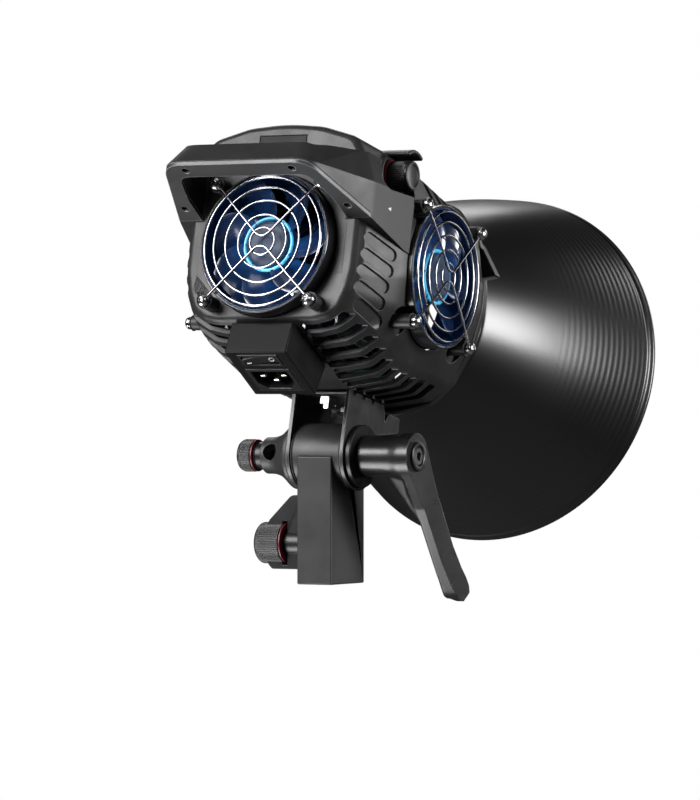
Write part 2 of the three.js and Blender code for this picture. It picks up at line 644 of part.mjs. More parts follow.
function reflector() {
  const length = BOWL_BACK_Y - RIM_Y;
  const outer = [];
  const inner = [];
  for (let i = 0; i <= BOWL_STEPS; i += 1) {
    const t = i / BOWL_STEPS;
    outer.push([bowlRadius(t), t * (length - 5)]);
    inner.unshift([bowlRadius(t) - SPUN, t * (length - 5)]);
  }
  const bead = [];
  for (let i = 0; i <= 3; i += 1) {
    const angle = radians(-60 + 80 * i);
    bead.push([RIM_RADIUS - 2.4 + 2.6 * Math.cos(angle), length - 2.6 + 2.6 * Math.sin(angle)]);
  }
  inner[inner.length - 1] = [BOWL_BACK_RADIUS - SPUN, 1.6];
  const collarEnd = [[49.5, 1.6], [49.5, 0], [BOWL_BACK_RADIUS, 0]];
  const profile = [...outer, ...bead, ...inner, ...collarEnd];
  const bowl = solid(turned(profile, 36));
  const sleeve = solid(collar(47.9, 49.9, -6.5, 1.2, 24));
  const lugs = KEYWAY_ANGLES.map(angle => solid(new THREE.BoxGeometry(4, 7, 2.4)
    .translate(50.4, 0, -5.1).rotateZ(radians(angle + BAYONET_TWIST))));
  return surface(join(bowl, sleeve, ...lugs));
}

function mountRelease() {
  return acrossY(outline(RELEASE), RING_FRONT - 7.4, RING_FRONT - 0.4);
}

add(head, 'front_ring', frontRing(), 'housing');
add(head, 'bayonet_ring', bayonetRing(), 'alloy');
add(head, 'mount_release', mountRelease(), 'black');
add(head, 'reflector', placed(reflector(), FORWARD, 0, BOWL_BACK_Y, OPTICAL_Z), 'bowl');

// ---- power box ----------------------------------------------------------------------------
const panelRun = PANEL_FRONT.clone().sub(PANEL_REAR);
const PANEL_LENGTH = panelRun.length();
const panelLine = panelRun.clone().normalize();
// drawn on the panel: x across, y from its front edge to its rear edge, z out of it
const PANEL = toBasis(X_AXIS.clone().negate(),
  new THREE.Vector3(0, -panelLine.x, -panelLine.y),
  new THREE.Vector3(0, -panelLine.y, panelLine.x));
const onPanel = geometry => placed(geometry, PANEL, 0, PANEL_FRONT.x, PANEL_FRONT.y);
const panelBox = (x0, x1, y0, y1, z0, z1) => solid(onPanel(
  new THREE.BoxGeometry(x1 - x0, y1 - y0, z1 - z0)
    .translate((x0 + x1) / 2, (y0 + y1) / 2, (z0 + z1) / 2)));

const SWITCH = { half: 14, low: 30.5, high: 42.5 };
const INLET = { half: 15.5, low: 4.5, high: 27.5 };
const INLET_PINS = [['line', -7, 2], ['neutral', 7, 2], ['earth', 0, -2.6]];

function powerBox() {
  const body = acrossX(outline([
    [PANEL_REAR.x, PANEL_REAR.y], [98.9, 60], [97.5, 60], [54, 44.2 - GAP],
    [PANEL_FRONT.x, PANEL_FRONT.y],
  ]), -BOX_HALF, BOX_HALF);
  const room = acrossX(outline([
    [PANEL_REAR.x - 2.4, PANEL_REAR.y + 1.4], [97, 58.6], [97, 70], [54, 54], [56.5, 43.6],
    [PANEL_FRONT.x + 1.2, PANEL_FRONT.y + 2.8],
  ]), -BOX_HALF + 2, BOX_HALF - 2);
  return cut(body, room,
    panelBox(-SWITCH.half, SWITCH.half, SWITCH.low, SWITCH.high, -6, 4),
    panelBox(-INLET.half, INLET.half, INLET.low, INLET.high, -6, 4));
}

function switchFrame() {
  const { half, low, high } = SWITCH;
  const outer = panelBox(-half + GAP, half - GAP, low + GAP, high - GAP, -7, 0.6);
  return cut(outer, panelBox(-half + 2, half - 2, low + 1.9, high - 1.9, -8, 2));
}

// the rocker rests with its far half pressed in
const ROCKER_TILT = 9;
const ROCKER_SINK = 2.4;

function rockerSwitch() {
  const half = SWITCH.half - 2.6;
  const width = SWITCH.high - SWITCH.low - 5;
  const profile = new THREE.Shape();
  profile.moveTo(-half + 1.4, -3.2);
  profile.lineTo(half - 1.4, -3.2);
  profile.lineTo(half - 0.6, 2.2);
  profile.lineTo(0, 1);
  profile.lineTo(-half + 0.6, 2.2);
  profile.closePath();
  return prism(profile, width).translate(0, 0, -width / 2).rotateX(Math.PI / 2)
    .rotateY(radians(ROCKER_TILT));
}

function inletSocket() {
  const { half, low, high } = INLET;
  const body = panelBox(-half + GAP, half - GAP, low + GAP, high - GAP, -15, 0.4);
  const mouth = new THREE.Shape();
  mouth.moveTo(-12.2, 8.5);
  mouth.lineTo(12.2, 8.5);
  mouth.lineTo(12.2, -3);
  mouth.lineTo(7.4, -8.5);
  mouth.lineTo(-7.4, -8.5);
  mouth.lineTo(-12.2, -3);
  mouth.closePath();
  const hollow = prism(mouth, 20).translate(0, (low + high) / 2, -13);
  const slots = INLET_PINS.map(([, x, y]) => {
    const centre = (low + high) / 2 + y;
    return panelBox(x - 2.4, x + 2.4, centre - 1.4, centre + 1.4, -16, 0);
  });
  return cut(body, solid(onPanel(hollow)), ...slots);
}

add(head, 'power_box', powerBox(), 'panel');
add(head, 'switch_frame', switchFrame(), 'black');
add(head, 'rocker_switch', onPanel(rockerSwitch()
  .translate(0, (SWITCH.low + SWITCH.high) / 2, -ROCKER_SINK + 1.4)), 'black');
add(head, 'inlet_socket', inletSocket(), 'black');
INLET_PINS.forEach(([name, x, y]) => {
  const centre = (INLET.low + INLET.high) / 2 + y;
  add(head, `inlet_pin_${name}`, onPanel(new THREE.BoxGeometry(4, 2, 17)
    .translate(x, centre, -9.5)), 'brass');
});

// ---- fans ---------------------------------------------------------------------------------
const HUB_RADIUS = 15;

function fanFrame() {
  const back = FAN_SEAT - FAN_DEPTH;
  const ring = solid(collar(FAN_BORE, FAN_RADIUS, back, FAN_SEAT, 28));
  const seat = solid(rod(HUB_RADIUS, back, back + 3, 12));
  const arms = [45, 135, 225, 315].map(angle =>
    solid(new THREE.BoxGeometry(28, 4, 2.4).translate(28, 0, back + 1.5).rotateZ(radians(angle))));
  return surface(join(ring, seat, ...arms));
}

function fanRotor() {
  const back = FAN_SEAT - FAN_DEPTH + 3.5;
  const top = FAN_SEAT - 4;
  const hub = solid(turned([
    [0, back], [HUB_RADIUS, back], [HUB_RADIUS, top - 1], [HUB_RADIUS - 1, top], [0, top],
  ], 14));
  const blades = [0, 1, 2, 3, 4, 5, 6].map(i => {
    const blade = new THREE.BoxGeometry(24.5, 21, 1.4, 1, 1, 1).rotateX(radians(38))
      .translate(26, 0, (back + top) / 2).rotateZ((i * 2 * Math.PI) / 7);
    return solid(blade);
  });
  return surface(join(hub, ...blades));
}

// two bent wires carry the rings: each runs from one screw to the middle and out to the next
function fanGuard() {
  const rings = GUARD_RINGS.map(radius =>
    solid(new THREE.TorusGeometry(radius, WIRE, 3, 8 + Math.round(radius / 3))));
  const wires = [1, -1].map(side => {
    const reach = FAN_HOLE - 2;
    const path = new THREE.CatmullRomCurve3([
      new THREE.Vector3(-reach, side * reach, 0), new THREE.Vector3(-20, side * 21, 0.5),
      new THREE.Vector3(-5, side * 6, 0.5), new THREE.Vector3(0, side * 2.5, 0.5),
      new THREE.Vector3(5, side * 6, 0.5), new THREE.Vector3(20, side * 21, 0.5),
      new THREE.Vector3(reach, side * reach, 0),
    ]);
    const section = outline([[WIRE, 0], [-WIRE / 2, WIRE], [-WIRE / 2, -WIRE]]);
    const wire = new THREE.ExtrudeGeometry(section,
      { steps: 8, bevelEnabled: false, extrudePath: path });
    return solid(wire);
  });
  const loops = FAN_CORNERS.map(([u, v]) =>
    solid(new THREE.TorusGeometry(3.1, WIRE, 3, 6).translate(u, v, 0)));
  return surface(join(...rings, ...wires, ...loops));
}

function fanScrew() {
  return turned([
    [0, -12], [1.9, -12], [1.9, WIRE + 0.25], [3.9, WIRE + 0.25], [3.2, WIRE + 2.8],
    [0, WIRE + 3.2],
  ], 7);
}

for (const fan of FANS) {
  const group = new THREE.Group();
  group.setRotationFromMatrix(fan.frame);
  group.position.set(...fan.at);
  head.add(group);
  add(group, `${fan.side}_fan_frame`, fanFrame(), 'fan');
  add(group, `${fan.side}_fan_rotor`, fanRotor(), 'blade');
  add(group, `${fan.side}_fan_guard`, fanGuard(), 'steel');
  FAN_CORNERS.forEach(([u, v], i) =>
    add(group, `${fan.side}_fan_screw_${i + 1}`, fanScrew().translate(u, v, 0), 'steel'));
}

// ---- control knobs ------------------------------------------------------------------------
function controlKnob() {
  return surface(join(
    knurled(9.35, KNOB_FLOOR_X + 2.2, KNOB_FLOOR_X + 15, 16),
    solid(turned([[0, KNOB_FLOOR_X + 14.6], [9, KNOB_FLOOR_X + 14.6], [7.6, KNOB_FLOOR_X + 16.2],
      [0, KNOB_FLOOR_X + 16.2]], 16)),
    solid(rod(6, KNOB_FLOOR_X + GAP, KNOB_FLOOR_X + 3, 10))));
}

for (const [name, frame] of [['dimmer_knob', LEFTWARD], ['cct_knob', RIGHTWARD]]) {
  add(head, name, placed(controlKnob(), frame, 0, KNOB_Y, KNOB_Z), 'black');
  add(head, `${name}_ring`, placed(collar(6 + GAP, 10.4, KNOB_FLOOR_X + GAP, KNOB_FLOOR_X + 1.9, 20),
    frame, 0, KNOB_Y, KNOB_Z), 'red');
}

// ---- inside -------------------------------------------------------------------------------
const SINK = { half: 44, back: 68, front: -20, low: 60, high: 150 };

function heatSink() {
  const base = block(-SINK.half, SINK.half, SINK.front - 5, SINK.front, SINK.low, SINK.high);
  const fins = [];
  for (let i = 0; i < 9; i += 1) {
    const x = -SINK.half + 1 + i * ((2 * SINK.half - 2) / 8);
    fins.push(block(x - 1, x + 1, SINK.front - 1, SINK.back, SINK.low, SINK.high));
  }
  return join(base, ...fins);
}

function ledModule() {
  const slab = block(-19, 19, SINK.front - 7, SINK.front - 5 - GAP, OPTICAL_Z - 19, OPTICAL_Z + 19);
  const disc = placed(rod(14, -1, 0.8, 28), FORWARD, 0, SINK.front - 7, OPTICAL_Z);
  return join(slab, solid(disc));
}

function driverBoard() {
  const board = block(-36, 36, -22, 26, 46, 47.6);
  const parts = [[-30, -8, -16, 4], [0, 14, -14, 14], [20, 32, -6, 20]]
    .map(([x0, x1, y0, y1]) => block(x0, x1, y0, y1, 47, 57));
  return join(board, ...parts);
}

function controlBoard() {
  const board = block(-34, 34, 14, 84, 162, 163.6);
  return join(board, block(-12, 12, 30, 54, 158, 163), block(16, 26, 62, 74, 158, 163));
}

add(head, 'heat_sink', heatSink(), 'alloy');
add(head, 'led_module', ledModule(), 'phosphor');
add(head, 'driver_board', driverBoard(), 'board');
add(head, 'control_board', controlBoard(), 'board');

export default monolight;
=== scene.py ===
"""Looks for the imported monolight: finer pieces and procedural materials around the fixed CAD frame.

Shapes are written in millimetres in the head's own frame (origin on the tilt axis, beam along -Y) or the
adapter's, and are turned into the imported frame's metres by the HEAD and ADAPTER matrices.
"""

import json
import math

import bmesh
import bpy
import numpy as np
from mathutils import Matrix, Vector
from mathutils.bvhtree import BVHTree


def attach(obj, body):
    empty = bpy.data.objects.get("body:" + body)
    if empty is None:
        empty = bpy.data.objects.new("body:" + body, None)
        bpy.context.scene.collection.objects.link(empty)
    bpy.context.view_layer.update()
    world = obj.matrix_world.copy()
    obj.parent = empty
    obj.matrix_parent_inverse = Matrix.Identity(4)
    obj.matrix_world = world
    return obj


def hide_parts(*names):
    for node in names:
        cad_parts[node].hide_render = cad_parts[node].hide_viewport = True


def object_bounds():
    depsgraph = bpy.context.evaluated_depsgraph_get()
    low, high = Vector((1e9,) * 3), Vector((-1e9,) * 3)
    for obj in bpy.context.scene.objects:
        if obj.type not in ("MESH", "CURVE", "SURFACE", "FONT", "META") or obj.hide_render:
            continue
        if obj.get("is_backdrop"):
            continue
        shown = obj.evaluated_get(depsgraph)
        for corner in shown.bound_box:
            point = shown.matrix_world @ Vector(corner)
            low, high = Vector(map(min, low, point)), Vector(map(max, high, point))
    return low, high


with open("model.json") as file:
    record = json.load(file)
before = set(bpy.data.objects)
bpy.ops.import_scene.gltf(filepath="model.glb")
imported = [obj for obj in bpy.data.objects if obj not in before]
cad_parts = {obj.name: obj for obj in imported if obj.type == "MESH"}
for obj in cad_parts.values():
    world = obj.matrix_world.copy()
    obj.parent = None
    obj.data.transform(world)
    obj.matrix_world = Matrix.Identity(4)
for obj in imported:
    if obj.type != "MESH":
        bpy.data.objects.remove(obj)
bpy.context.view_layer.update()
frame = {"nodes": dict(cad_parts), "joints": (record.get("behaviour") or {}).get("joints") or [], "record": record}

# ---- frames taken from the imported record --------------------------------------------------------
JOINTS = {joint["name"]: joint for joint in frame["joints"]}
PIVOT = Vector(JOINTS["head_tilt"]["pos_m"])
REAR_AXIS = Vector(JOINTS["release_slide"]["axis"])
MILLIMETRES = Matrix.Scale(0.001, 4)
ADAPTER = Matrix.Translation(PIVOT) @ MILLIMETRES
HEAD = Matrix.Translation(PIVOT) @ Matrix.Rotation(math.atan2(REAR_AXIS.z, REAR_AXIS.y), 4, "X") @ MILLIMETRES
AXIS_X, AXIS_Y, AXIS_Z = Vector((1, 0, 0)), Vector((0, 1, 0)), Vector((0, 0, 1))


def basis(x, y, z):
    return Matrix((x, y, z)).transposed().to_4x4()


# a piece drawn along +Z is turned towards one of these
LEFT = basis(AXIS_Y, AXIS_Z, AXIS_X)
RIGHT = basis(-AXIS_Y, AXIS_Z, -AXIS_X)
REAR = basis(-AXIS_X, AXIS_Z, AXIS_Y)
FORWARD = basis(AXIS_X, AXIS_Z, -AXIS_Y)


def to_head(point):
    """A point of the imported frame, in metres, as head-frame millimetres."""
    return HEAD.inverted() @ Vector(point)


# ---- mesh kit -------------------------------------------------------------------------------
WELD, ON_AXIS = 1e-4, 1e-6


class Form:
    """Closed faces in millimetres."""

    def __init__(self, points, faces):
        self.points = np.array(points, float).reshape(-1, 3)
        self.faces = [tuple(face) for face in faces]

    def at(self, matrix):
        m = np.array(matrix)
        faces = self.faces
        if np.linalg.det(m[:3, :3]) < 0:
            faces = [face[::-1] for face in faces]
        return Form(self.points @ m[:3, :3].T + m[:3, 3], faces)

    def move(self, x=0, y=0, z=0):
        return self.at(Matrix.Translation((x, y, z)))

    def __add__(self, other):
        shift = len(self.points)
        return Form(np.vstack([self.points, other.points]),
                    self.faces + [tuple(i + shift for i in face) for face in other.faces])

    def mesh(self, name="form"):
        data = bpy.data.meshes.new(name)
        data.from_pydata(self.points.tolist(), [], self.faces)
        work = bmesh.new()
        work.from_mesh(data)
        # a closed form is left as it is: welding the slivers of a boolean would open it again
        if any(len(edge.link_faces) != 2 for edge in work.edges):
            bmesh.ops.remove_doubles(work, verts=work.verts, dist=WELD)
        bmesh.ops.recalc_face_normals(work, faces=work.faces)
        work.to_mesh(data)
        work.free()
        return data


def form_of(data):
    return Form([v.co[:] for v in data.vertices], [tuple(p.vertices) for p in data.polygons])


def joined(forms):
    """Several forms as one, in order."""
    first, *rest = forms
    for form in rest:
        first = first + form
    return first


def turn(degrees, axis="Z"):
    return Matrix.Rotation(math.radians(degrees), 4, axis)


def box(x0, x1, y0, y1, z0, z1):
    corners = [(x, y, z) for z in (z0, z1) for y in (y0, y1) for x in (x0, x1)]
    return Form(corners, [(0, 1, 3, 2), (4, 6, 7, 5), (0, 4, 5, 1), (2, 3, 7, 6), (0, 2, 6, 4), (1, 5, 7, 3)])


def lathe(profile, segments=64, closed=False):
    """Turns (radius, height) points about Z. An open profile starts and ends on the axis."""
    points, rings = [], []
    angles = [2 * math.pi * i / segments for i in range(segments)]
    for radius, height in profile:
        if radius < ON_AXIS:
            rings.append([len(points)] * segments)
            points.append((0, 0, height))
        else:
            rings.append(list(range(len(points), len(points) + segments)))
            points += [(radius * math.cos(a), radius * math.sin(a), height) for a in angles]
    faces = []
    for low, high in list(zip(rings, rings[1:])) + ([(rings[-1], rings[0])] if closed else []):
        for i in range(segments):
            j = (i + 1) % segments
            face = []
            for corner in (low[i], low[j], high[j], high[i]):
                if corner not in face:
                    face.append(corner)
            if len(face) > 2:
                faces.append(face)
    return Form(points, faces)


def rod(radius, z0, z1, segments=48, edge=0.0):
    if edge <= 0:
        return lathe([(0, z0), (radius, z0), (radius, z1), (0, z1)], segments)
    arc = [(edge * math.sin(a), edge * math.cos(a)) for a in np.linspace(0, math.pi / 2, 4)]
    top = [(radius - edge + u, z1 - edge + v) for u, v in arc]
    low = [(r, z0 + z1 - z) for r, z in reversed(top)]
    return lathe([(0, z0), *low, *top, (0, z1)], segments)


def collar(inner, outer, z0, z1, segments, edge):
    return lathe([(inner + edge, z0), (outer - edge, z0), (outer, z0 + edge), (outer, z1 - edge),
                  (outer - edge, z1), (inner + edge, z1), (inner, z1 - edge), (inner, z0 + edge)],
                 segments, closed=True)


def prism(outline, z0, z1):
    n = len(outline)
    points = [(x, y, z0) for x, y in outline] + [(x, y, z1) for x, y in outline]
    sides = [(i, (i + 1) % n, n + (i + 1) % n, n + i) for i in range(n)]
    return Form(points, [tuple(range(n - 1, -1, -1)), tuple(range(n, 2 * n)), *sides])


def hull(points):
    work = bmesh.new()
    for point in points:
        work.verts.new(point)
    made = bmesh.ops.convex_hull(work, input=work.verts)
    loose = [v for v in made["geom_interior"] + made["geom_unused"] if isinstance(v, bmesh.types.BMVert)]
    bmesh.ops.delete(work, geom=list(set(loose)), context="VERTS")
    bmesh.ops.dissolve_limit(work, angle_limit=0.02, verts=work.verts, edges=work.edges)
    data = bpy.data.meshes.new("hull")
    work.to_mesh(data)
    work.free()
    return form_of(data)


def soften(form, width, steps=3, angle=20):
    """Rounds every edge sharper than angle."""
    work = bmesh.new()
    work.from_mesh(form.mesh())
    limit = math.radians(angle)
    edges = [e for e in work.edges if e.is_manifold and e.calc_face_angle(0) > limit]
    bmesh.ops.bevel(work, geom=edges, offset=width, segments=steps, profile=0.5, affect="EDGES",
                    clamp_overlap=True)
    data = bpy.data.meshes.new("soft")
    work.to_mesh(data)
    work.free()
    return form_of(data)


def rounded(corners, radius, steps=4):
    """A closed outline with each corner replaced by an arc. radius is one number or one per corner."""
    n = len(corners)
    radii = radius if hasattr(radius, "__len__") else [radius] * n
    out = []
    for i in range(n):
        here, before, after = (Vector(corners[k]) for k in (i, i - 1, (i + 1) % n))
        to_before, to_after = before - here, after - here
        half = to_before.angle(to_after, math.pi) / 2
        reach = min(radii[i] / math.tan(max(half, 0.05)), 0.48 * to_before.length, 0.48 * to_after.length)
        start = here + to_before.normalized() * reach
        end = here + to_after.normalized() * reach
        for t in np.linspace(0, 1, steps + 1):
            out.append(tuple(start * (1 - t) ** 2 + here * (2 * t * (1 - t)) + end * t * t))
    return out


def arc(cx, cy, radius, start, end, steps=16):
    return [(cx + radius * math.cos(a), cy + radius * math.sin(a))
            for a in np.radians(np.linspace(start, end, steps + 1))]


def sweep(path, radius, sides=10, closed=False):
    """A round wire along a path."""
    path = [Vector(p) for p in path]
    n = len(path)
    points, faces = [], []
    normal = Vector((0, 0, 1))
    for i, here in enumerate(path):
        after = path[(i + 1) % n] if closed or i < n - 1 else here
        before = path[i - 1] if closed or i else here
        along = (after - before).normalized()
        side = along.cross(normal).normalized()
        up = side.cross(along)
        for k in range(sides):
            a = 2 * math.pi * k / sides
            points.append(here + side * (radius * math.cos(a)) + up * (radius * math.sin(a)))
    for i in range(n if closed else n - 1):
        for k in range(sides):
            a, b = i * sides, ((i + 1) % n) * sides
            faces.append((a + k, a + (k + 1) % sides, b + (k + 1) % sides, b + k))
    if not closed:
        faces += [tuple(range(sides)), tuple(range((n - 1) * sides, n * sides))]
    return Form([tuple(p) for p in points], faces)


def ring(radius, wire, segments=72, sides=10):
    return sweep([(radius * math.cos(a), radius * math.sin(a), 0)
                  for a in np.linspace(0, 2 * math.pi, segments, endpoint=False)], wire, sides, closed=True)


def shaped(base, *steps, voxel=0, smooth=0):
    """Booleans and remeshing: steps are ("+" | "-" | "&", form), done in order."""
    scene = bpy.context.scene.collection
    target = bpy.data.objects.new("target", base.mesh())
    scene.objects.link(target)
    tools = []
    for sign, form in steps:
        tool = bpy.data.objects.new("tool", form.mesh())
        scene.objects.link(tool)
        tools.append(tool)
        change = target.modifiers.new("change", "BOOLEAN")
        change.solver = "MANIFOLD"
        change.operation = {"+": "UNION", "-": "DIFFERENCE", "&": "INTERSECT"}[sign]
        change.object = tool
    if voxel:
        remesh = target.modifiers.new("remesh", "REMESH")
        remesh.mode = "VOXEL"
        remesh.voxel_size = voxel
    if smooth:
        relax = target.modifiers.new("relax", "SMOOTH")
        relax.factor, relax.iterations = 0.5, smooth
    graph = bpy.context.evaluated_depsgraph_get()
    data = bpy.data.meshes.new_from_object(target.evaluated_get(graph))
    result = form_of(data)
    for ob in [target, *tools]:
        bpy.data.objects.remove(ob)
    return result


def piece(name, form, place, body, material, replaces=(), crease=32):
    data = form.at(place).mesh(name) if place else form.mesh(name)
    data.shade_smooth()
    data.set_sharp_from_angle(angle=math.radians(crease))
    data.materials.append(material)
    ob = bpy.data.objects.new(name, data)
    bpy.context.scene.collection.objects.link(ob)
    even = ob.modifiers.new("even_shading", "WEIGHTED_NORMAL")
    even.keep_sharp = True
    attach(ob, body)
    if replaces:
        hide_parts(*replaces)
    return ob


def on_head(name, form, material, slot, *replaces):
    """A piece that keeps its place in the head."""
    return piece(name, form, HEAD, "head", material, replaces)


# ---- materials ------------------------------------------------------------------------------
class Nodes:
    """A short way to write a node tree."""

    def __init__(self, name):
        self.material = bpy.data.materials.new(name)
        self.material.use_nodes = True
        self.tree = self.material.node_tree
        self.tree.nodes.clear()

    def add(self, kind, inputs=None, **settings):
        node = self.tree.nodes.new("ShaderNode" + kind)
        for key, value in settings.items():
            setattr(node, key, value)
        for key, value in (inputs or {}).items():
            socket = node.inputs[key]
            if isinstance(value, bpy.types.NodeSocket):
                self.tree.links.new(value, socket)
            else:
                socket.default_value = value
        return node

    def noise(self, place, scale, detail, roughness=0.5):
        inputs = {"Vector": place, "Scale": scale, "Detail": detail, "Roughness": roughness}
        return self.add("TexNoise", inputs).outputs["Fac"]

    def remap(self, value, start, end, low, high):
        """Turns start..end of a value into low..high."""
        inputs = {"Value": value, "From Min": start, "From Max": end, "To Min": low, "To Max": high}
        return self.add("MapRange", inputs).outputs["Result"]

    def scaled(self, vector, factor):
        return self.add("VectorMath", {0: vector, "Scale": factor}, operation="SCALE").outputs["Vector"]

    def blended(self, factor, first, second):
        """first where factor is 0, the plain colour second where it is 1."""
        return self.add("Mix", {0: factor, 6: first, 7: (*second, 1.0)}, data_type="RGBA").outputs[2]

    def attribute(self, name):
        return self.add("Attribute", attribute_name=name).outputs["Fac"]

    def surface(self, inputs):
        shader = self.add("BsdfPrincipled", inputs)
        self.add("OutputMaterial", {"Surface": shader.outputs["BSDF"]})
        return self.material


def finish_of(name, base, rough, metal=0.0, grain=0.3, grain_size=0.35, mottle=0.12, edge=0.5, edge_wear_and_highlight=0.25,
              edge_wear_and_highlight_color=(0.22, 0.22, 0.23), ring_glow_and_painted_light=None, ring_glow_and_painted_light_strength=0.0, shine=0.5, coat=0.0, brushed=None):
    """One procedural finish: mottled colour, fine grain, and softened edges lightened towards a paler colour,
    partly as wear and partly as a painted edge highlight.

    grain_size and edge are in millimetres. brushed stretches the grain along the given axis.
    """
    n = Nodes(name)
    place = n.add("TexCoord").outputs["Object"]
    if brushed:
        place = n.add("Mapping", {"Vector": place, "Scale": brushed}).outputs["Vector"]
    fine = n.noise(place, 1000 / grain_size, 3.0, 0.6)
    broad = n.noise(place, 45.0, 4.0, 0.65)
    soft = n.add("Bevel", {"Radius": edge / 1000}, samples=6).outputs["Normal"]
    bare = n.add("NewGeometry").outputs["Normal"]
    facing = n.add("VectorMath", {0: soft, 1: bare}, operation="DOT_PRODUCT").outputs["Value"]
    # edges are lightened towards the paler colour: partly wear, partly a painted highlight along every edge
    worn_and_lit_edge = n.remap(facing, 0.99, 0.8, 0.0, edge_wear_and_highlight)
    body = n.scaled(base, n.remap(broad, 0.3, 0.7, 1 - mottle, 1 + mottle))
    body = n.scaled(body, n.remap(fine, 0.35, 0.65, 1 - 0.35 * grain, 1 + 0.35 * grain))
    color = n.blended(worn_and_lit_edge, body, edge_wear_and_highlight_color)
    roughness = n.remap(broad, 0.3, 0.7, rough * 0.85, min(1.0, rough * 1.15))
    bump = n.add("Bump", {"Strength": grain, "Distance": 0.00012, "Height": fine, "Normal": soft})
    inputs = {"Base Color": color, "Roughness": roughness, "Metallic": metal,
              "Normal": bump.outputs["Normal"], "Specular IOR Level": shine, "Coat Weight": coat,
              "Coat Roughness": 0.15}
    # emission: the glow ring's own light, and painted blue light from the ring on the fan's sleeve and hub
    if ring_glow_and_painted_light:
        inputs |= {"Emission Color": (*ring_glow_and_painted_light, 1.0), "Emission Strength": ring_glow_and_painted_light_strength}
    return n.surface(inputs)


def blade_finish():
    """Blue blades with painted light from the ring inside: emission brightest near the hub, fading outwards."""
    n = Nodes("fan_blades")
    noise = n.noise(n.add("TexCoord").outputs["Object"], 70.0, 2.0)
    painted_ring_light = n.attribute("ring_glow_and_painted_light")
    gain = n.remap(noise, 0.35, 0.7, 0.1, 1.2)
    strength = n.add("Math", {0: painted_ring_light, 1: gain}, operation="MULTIPLY").outputs["Value"]
    return n.surface({"Base Color": (0.006, 0.014, 0.045, 1), "Roughness": 0.2,
                      "Emission Color": (0.009, 0.055, 0.19, 1), "Emission Strength": strength,
                      "Coat Weight": 0.35, "Coat Roughness": 0.12})


def bowl_finish():
    """Satin black over spun metal, with fine turning marks that follow the rings; silver inside."""
    n = Nodes("spun_bowl")
    along = n.add("Math", {0: n.attribute("along"), 1: 16.0}, operation="MULTIPLY").outputs["Value"]
    lines = n.add("TexNoise", {"W": along, "Scale": 1.0, "Detail": 2.0, "Roughness": 0.6},
                  noise_dimensions="1D").outputs["Fac"]
    dust = n.noise(n.add("TexCoord").outputs["Object"], 12.0, 1.0)
    rough = n.remap(dust, 0.3, 0.7, 0.28, 0.31)
    bump = n.add("Bump", {"Strength": 0.25, "Distance": 0.00006, "Height": lines}).outputs["Normal"]
    tone = n.remap(lines, 0.0, 1.0, 0.002, 0.006)
    black = n.add("CombineColor", {"Red": tone, "Green": tone, "Blue": tone}).outputs["Color"]
    inside = n.attribute("inside")
    return n.surface({"Base Color": n.blended(inside, black, (0.72, 0.72, 0.73)), "Roughness": rough,
                      "Metallic": inside, "Normal": bump, "Specular IOR Level": 0.55})


HOUSING = finish_of("housing_plastic", (0.015, 0.0151, 0.0155), 0.42, grain=0.4, grain_size=0.5, edge=0.7,
                    edge_wear_and_highlight=0.35, shine=0.28)
# the trim is the housing plastic made lighter as painted light on its down-facing face, and its edges carry a
# strong painted highlight line
LIGHTENED_TRIM = finish_of("handle_trim", (0.024, 0.024, 0.0245), 0.42, grain=0.35, grain_size=0.5, edge=0.8, edge_wear_and_highlight=0.9,
                 edge_wear_and_highlight_color=(0.4, 0.4, 0.41))
PANEL = finish_of("panel_plastic", (0.006, 0.006, 0.0065), 0.42, grain=0.2, grain_size=0.4, edge_wear_and_highlight=0.5,
                  shine=0.08)
LEVER = finish_of("lever_black", (0.009, 0.009, 0.0095), 0.3, grain=0.1, grain_size=0.4, edge=0.6, edge_wear_and_highlight=0.3,
                  shine=0.4)
MOULDED = finish_of("moulded_black", (0.008, 0.008, 0.009), 0.36, grain=0.1, grain_size=0.4, edge_wear_and_highlight=0.15,
                    shine=0.3)
CAST = finish_of("cast_black", (0.022, 0.022, 0.023), 0.42, grain_size=0.6, edge=0.7, edge_wear_and_highlight=0.35, shine=0.3)
# the bracket's sheet edges are lightened strongly: a painted highlight line along them
SHEET = finish_of("sheet_black", (0.014, 0.014, 0.0145), 0.4, grain_size=0.4, edge=0.4, edge_wear_and_highlight=0.9,
                  edge_wear_and_highlight_color=(0.4, 0.4, 0.41))
RED = finish_of("red_ring", (0.1, 0.004, 0.01), 0.45, grain=0.1, edge=0.2, edge_wear_and_highlight=0.1,
                edge_wear_and_highlight_color=(0.3, 0.05, 0.05))
CHROME = finish_of("guard_chrome", (0.34, 0.33, 0.35), 0.2, metal=1.0, grain=0.03, mottle=0.04, edge=0.1,
                   edge_wear_and_highlight=0.0)
SCREW = finish_of("steel_screw", (0.5, 0.49, 0.5), 0.22, metal=1.0, grain=0.12, grain_size=0.3, mottle=0.08,
                  edge=0.15, edge_wear_and_highlight=0.3, edge_wear_and_highlight_color=(0.8, 0.8, 0.8))
DARK_STEEL = finish_of("dark_steel", (0.11, 0.11, 0.115), 0.3, metal=0.8, grain=0.1, edge=0.2, edge_wear_and_highlight=0.3)
# the sleeve's blue glow is painted light from the ring, and its blue-lightened edges are a painted highlight
FRAME_BLUE = finish_of("fan_frame", (0.004, 0.013, 0.045), 0.14, grain=0.05, edge=0.4, edge_wear_and_highlight=0.2,
                       edge_wear_and_highlight_color=(0.2, 0.4, 0.8), ring_glow_and_painted_light=(0.01, 0.06, 0.25), ring_glow_and_painted_light_strength=0.03, coat=0.5)
FAN_BLACK = finish_of("fan_black", (0.006, 0.006, 0.008), 0.2, grain=0.05, edge=0.35, edge_wear_and_highlight=0.9,
                      edge_wear_and_highlight_color=(0.35, 0.36, 0.38), coat=0.3)
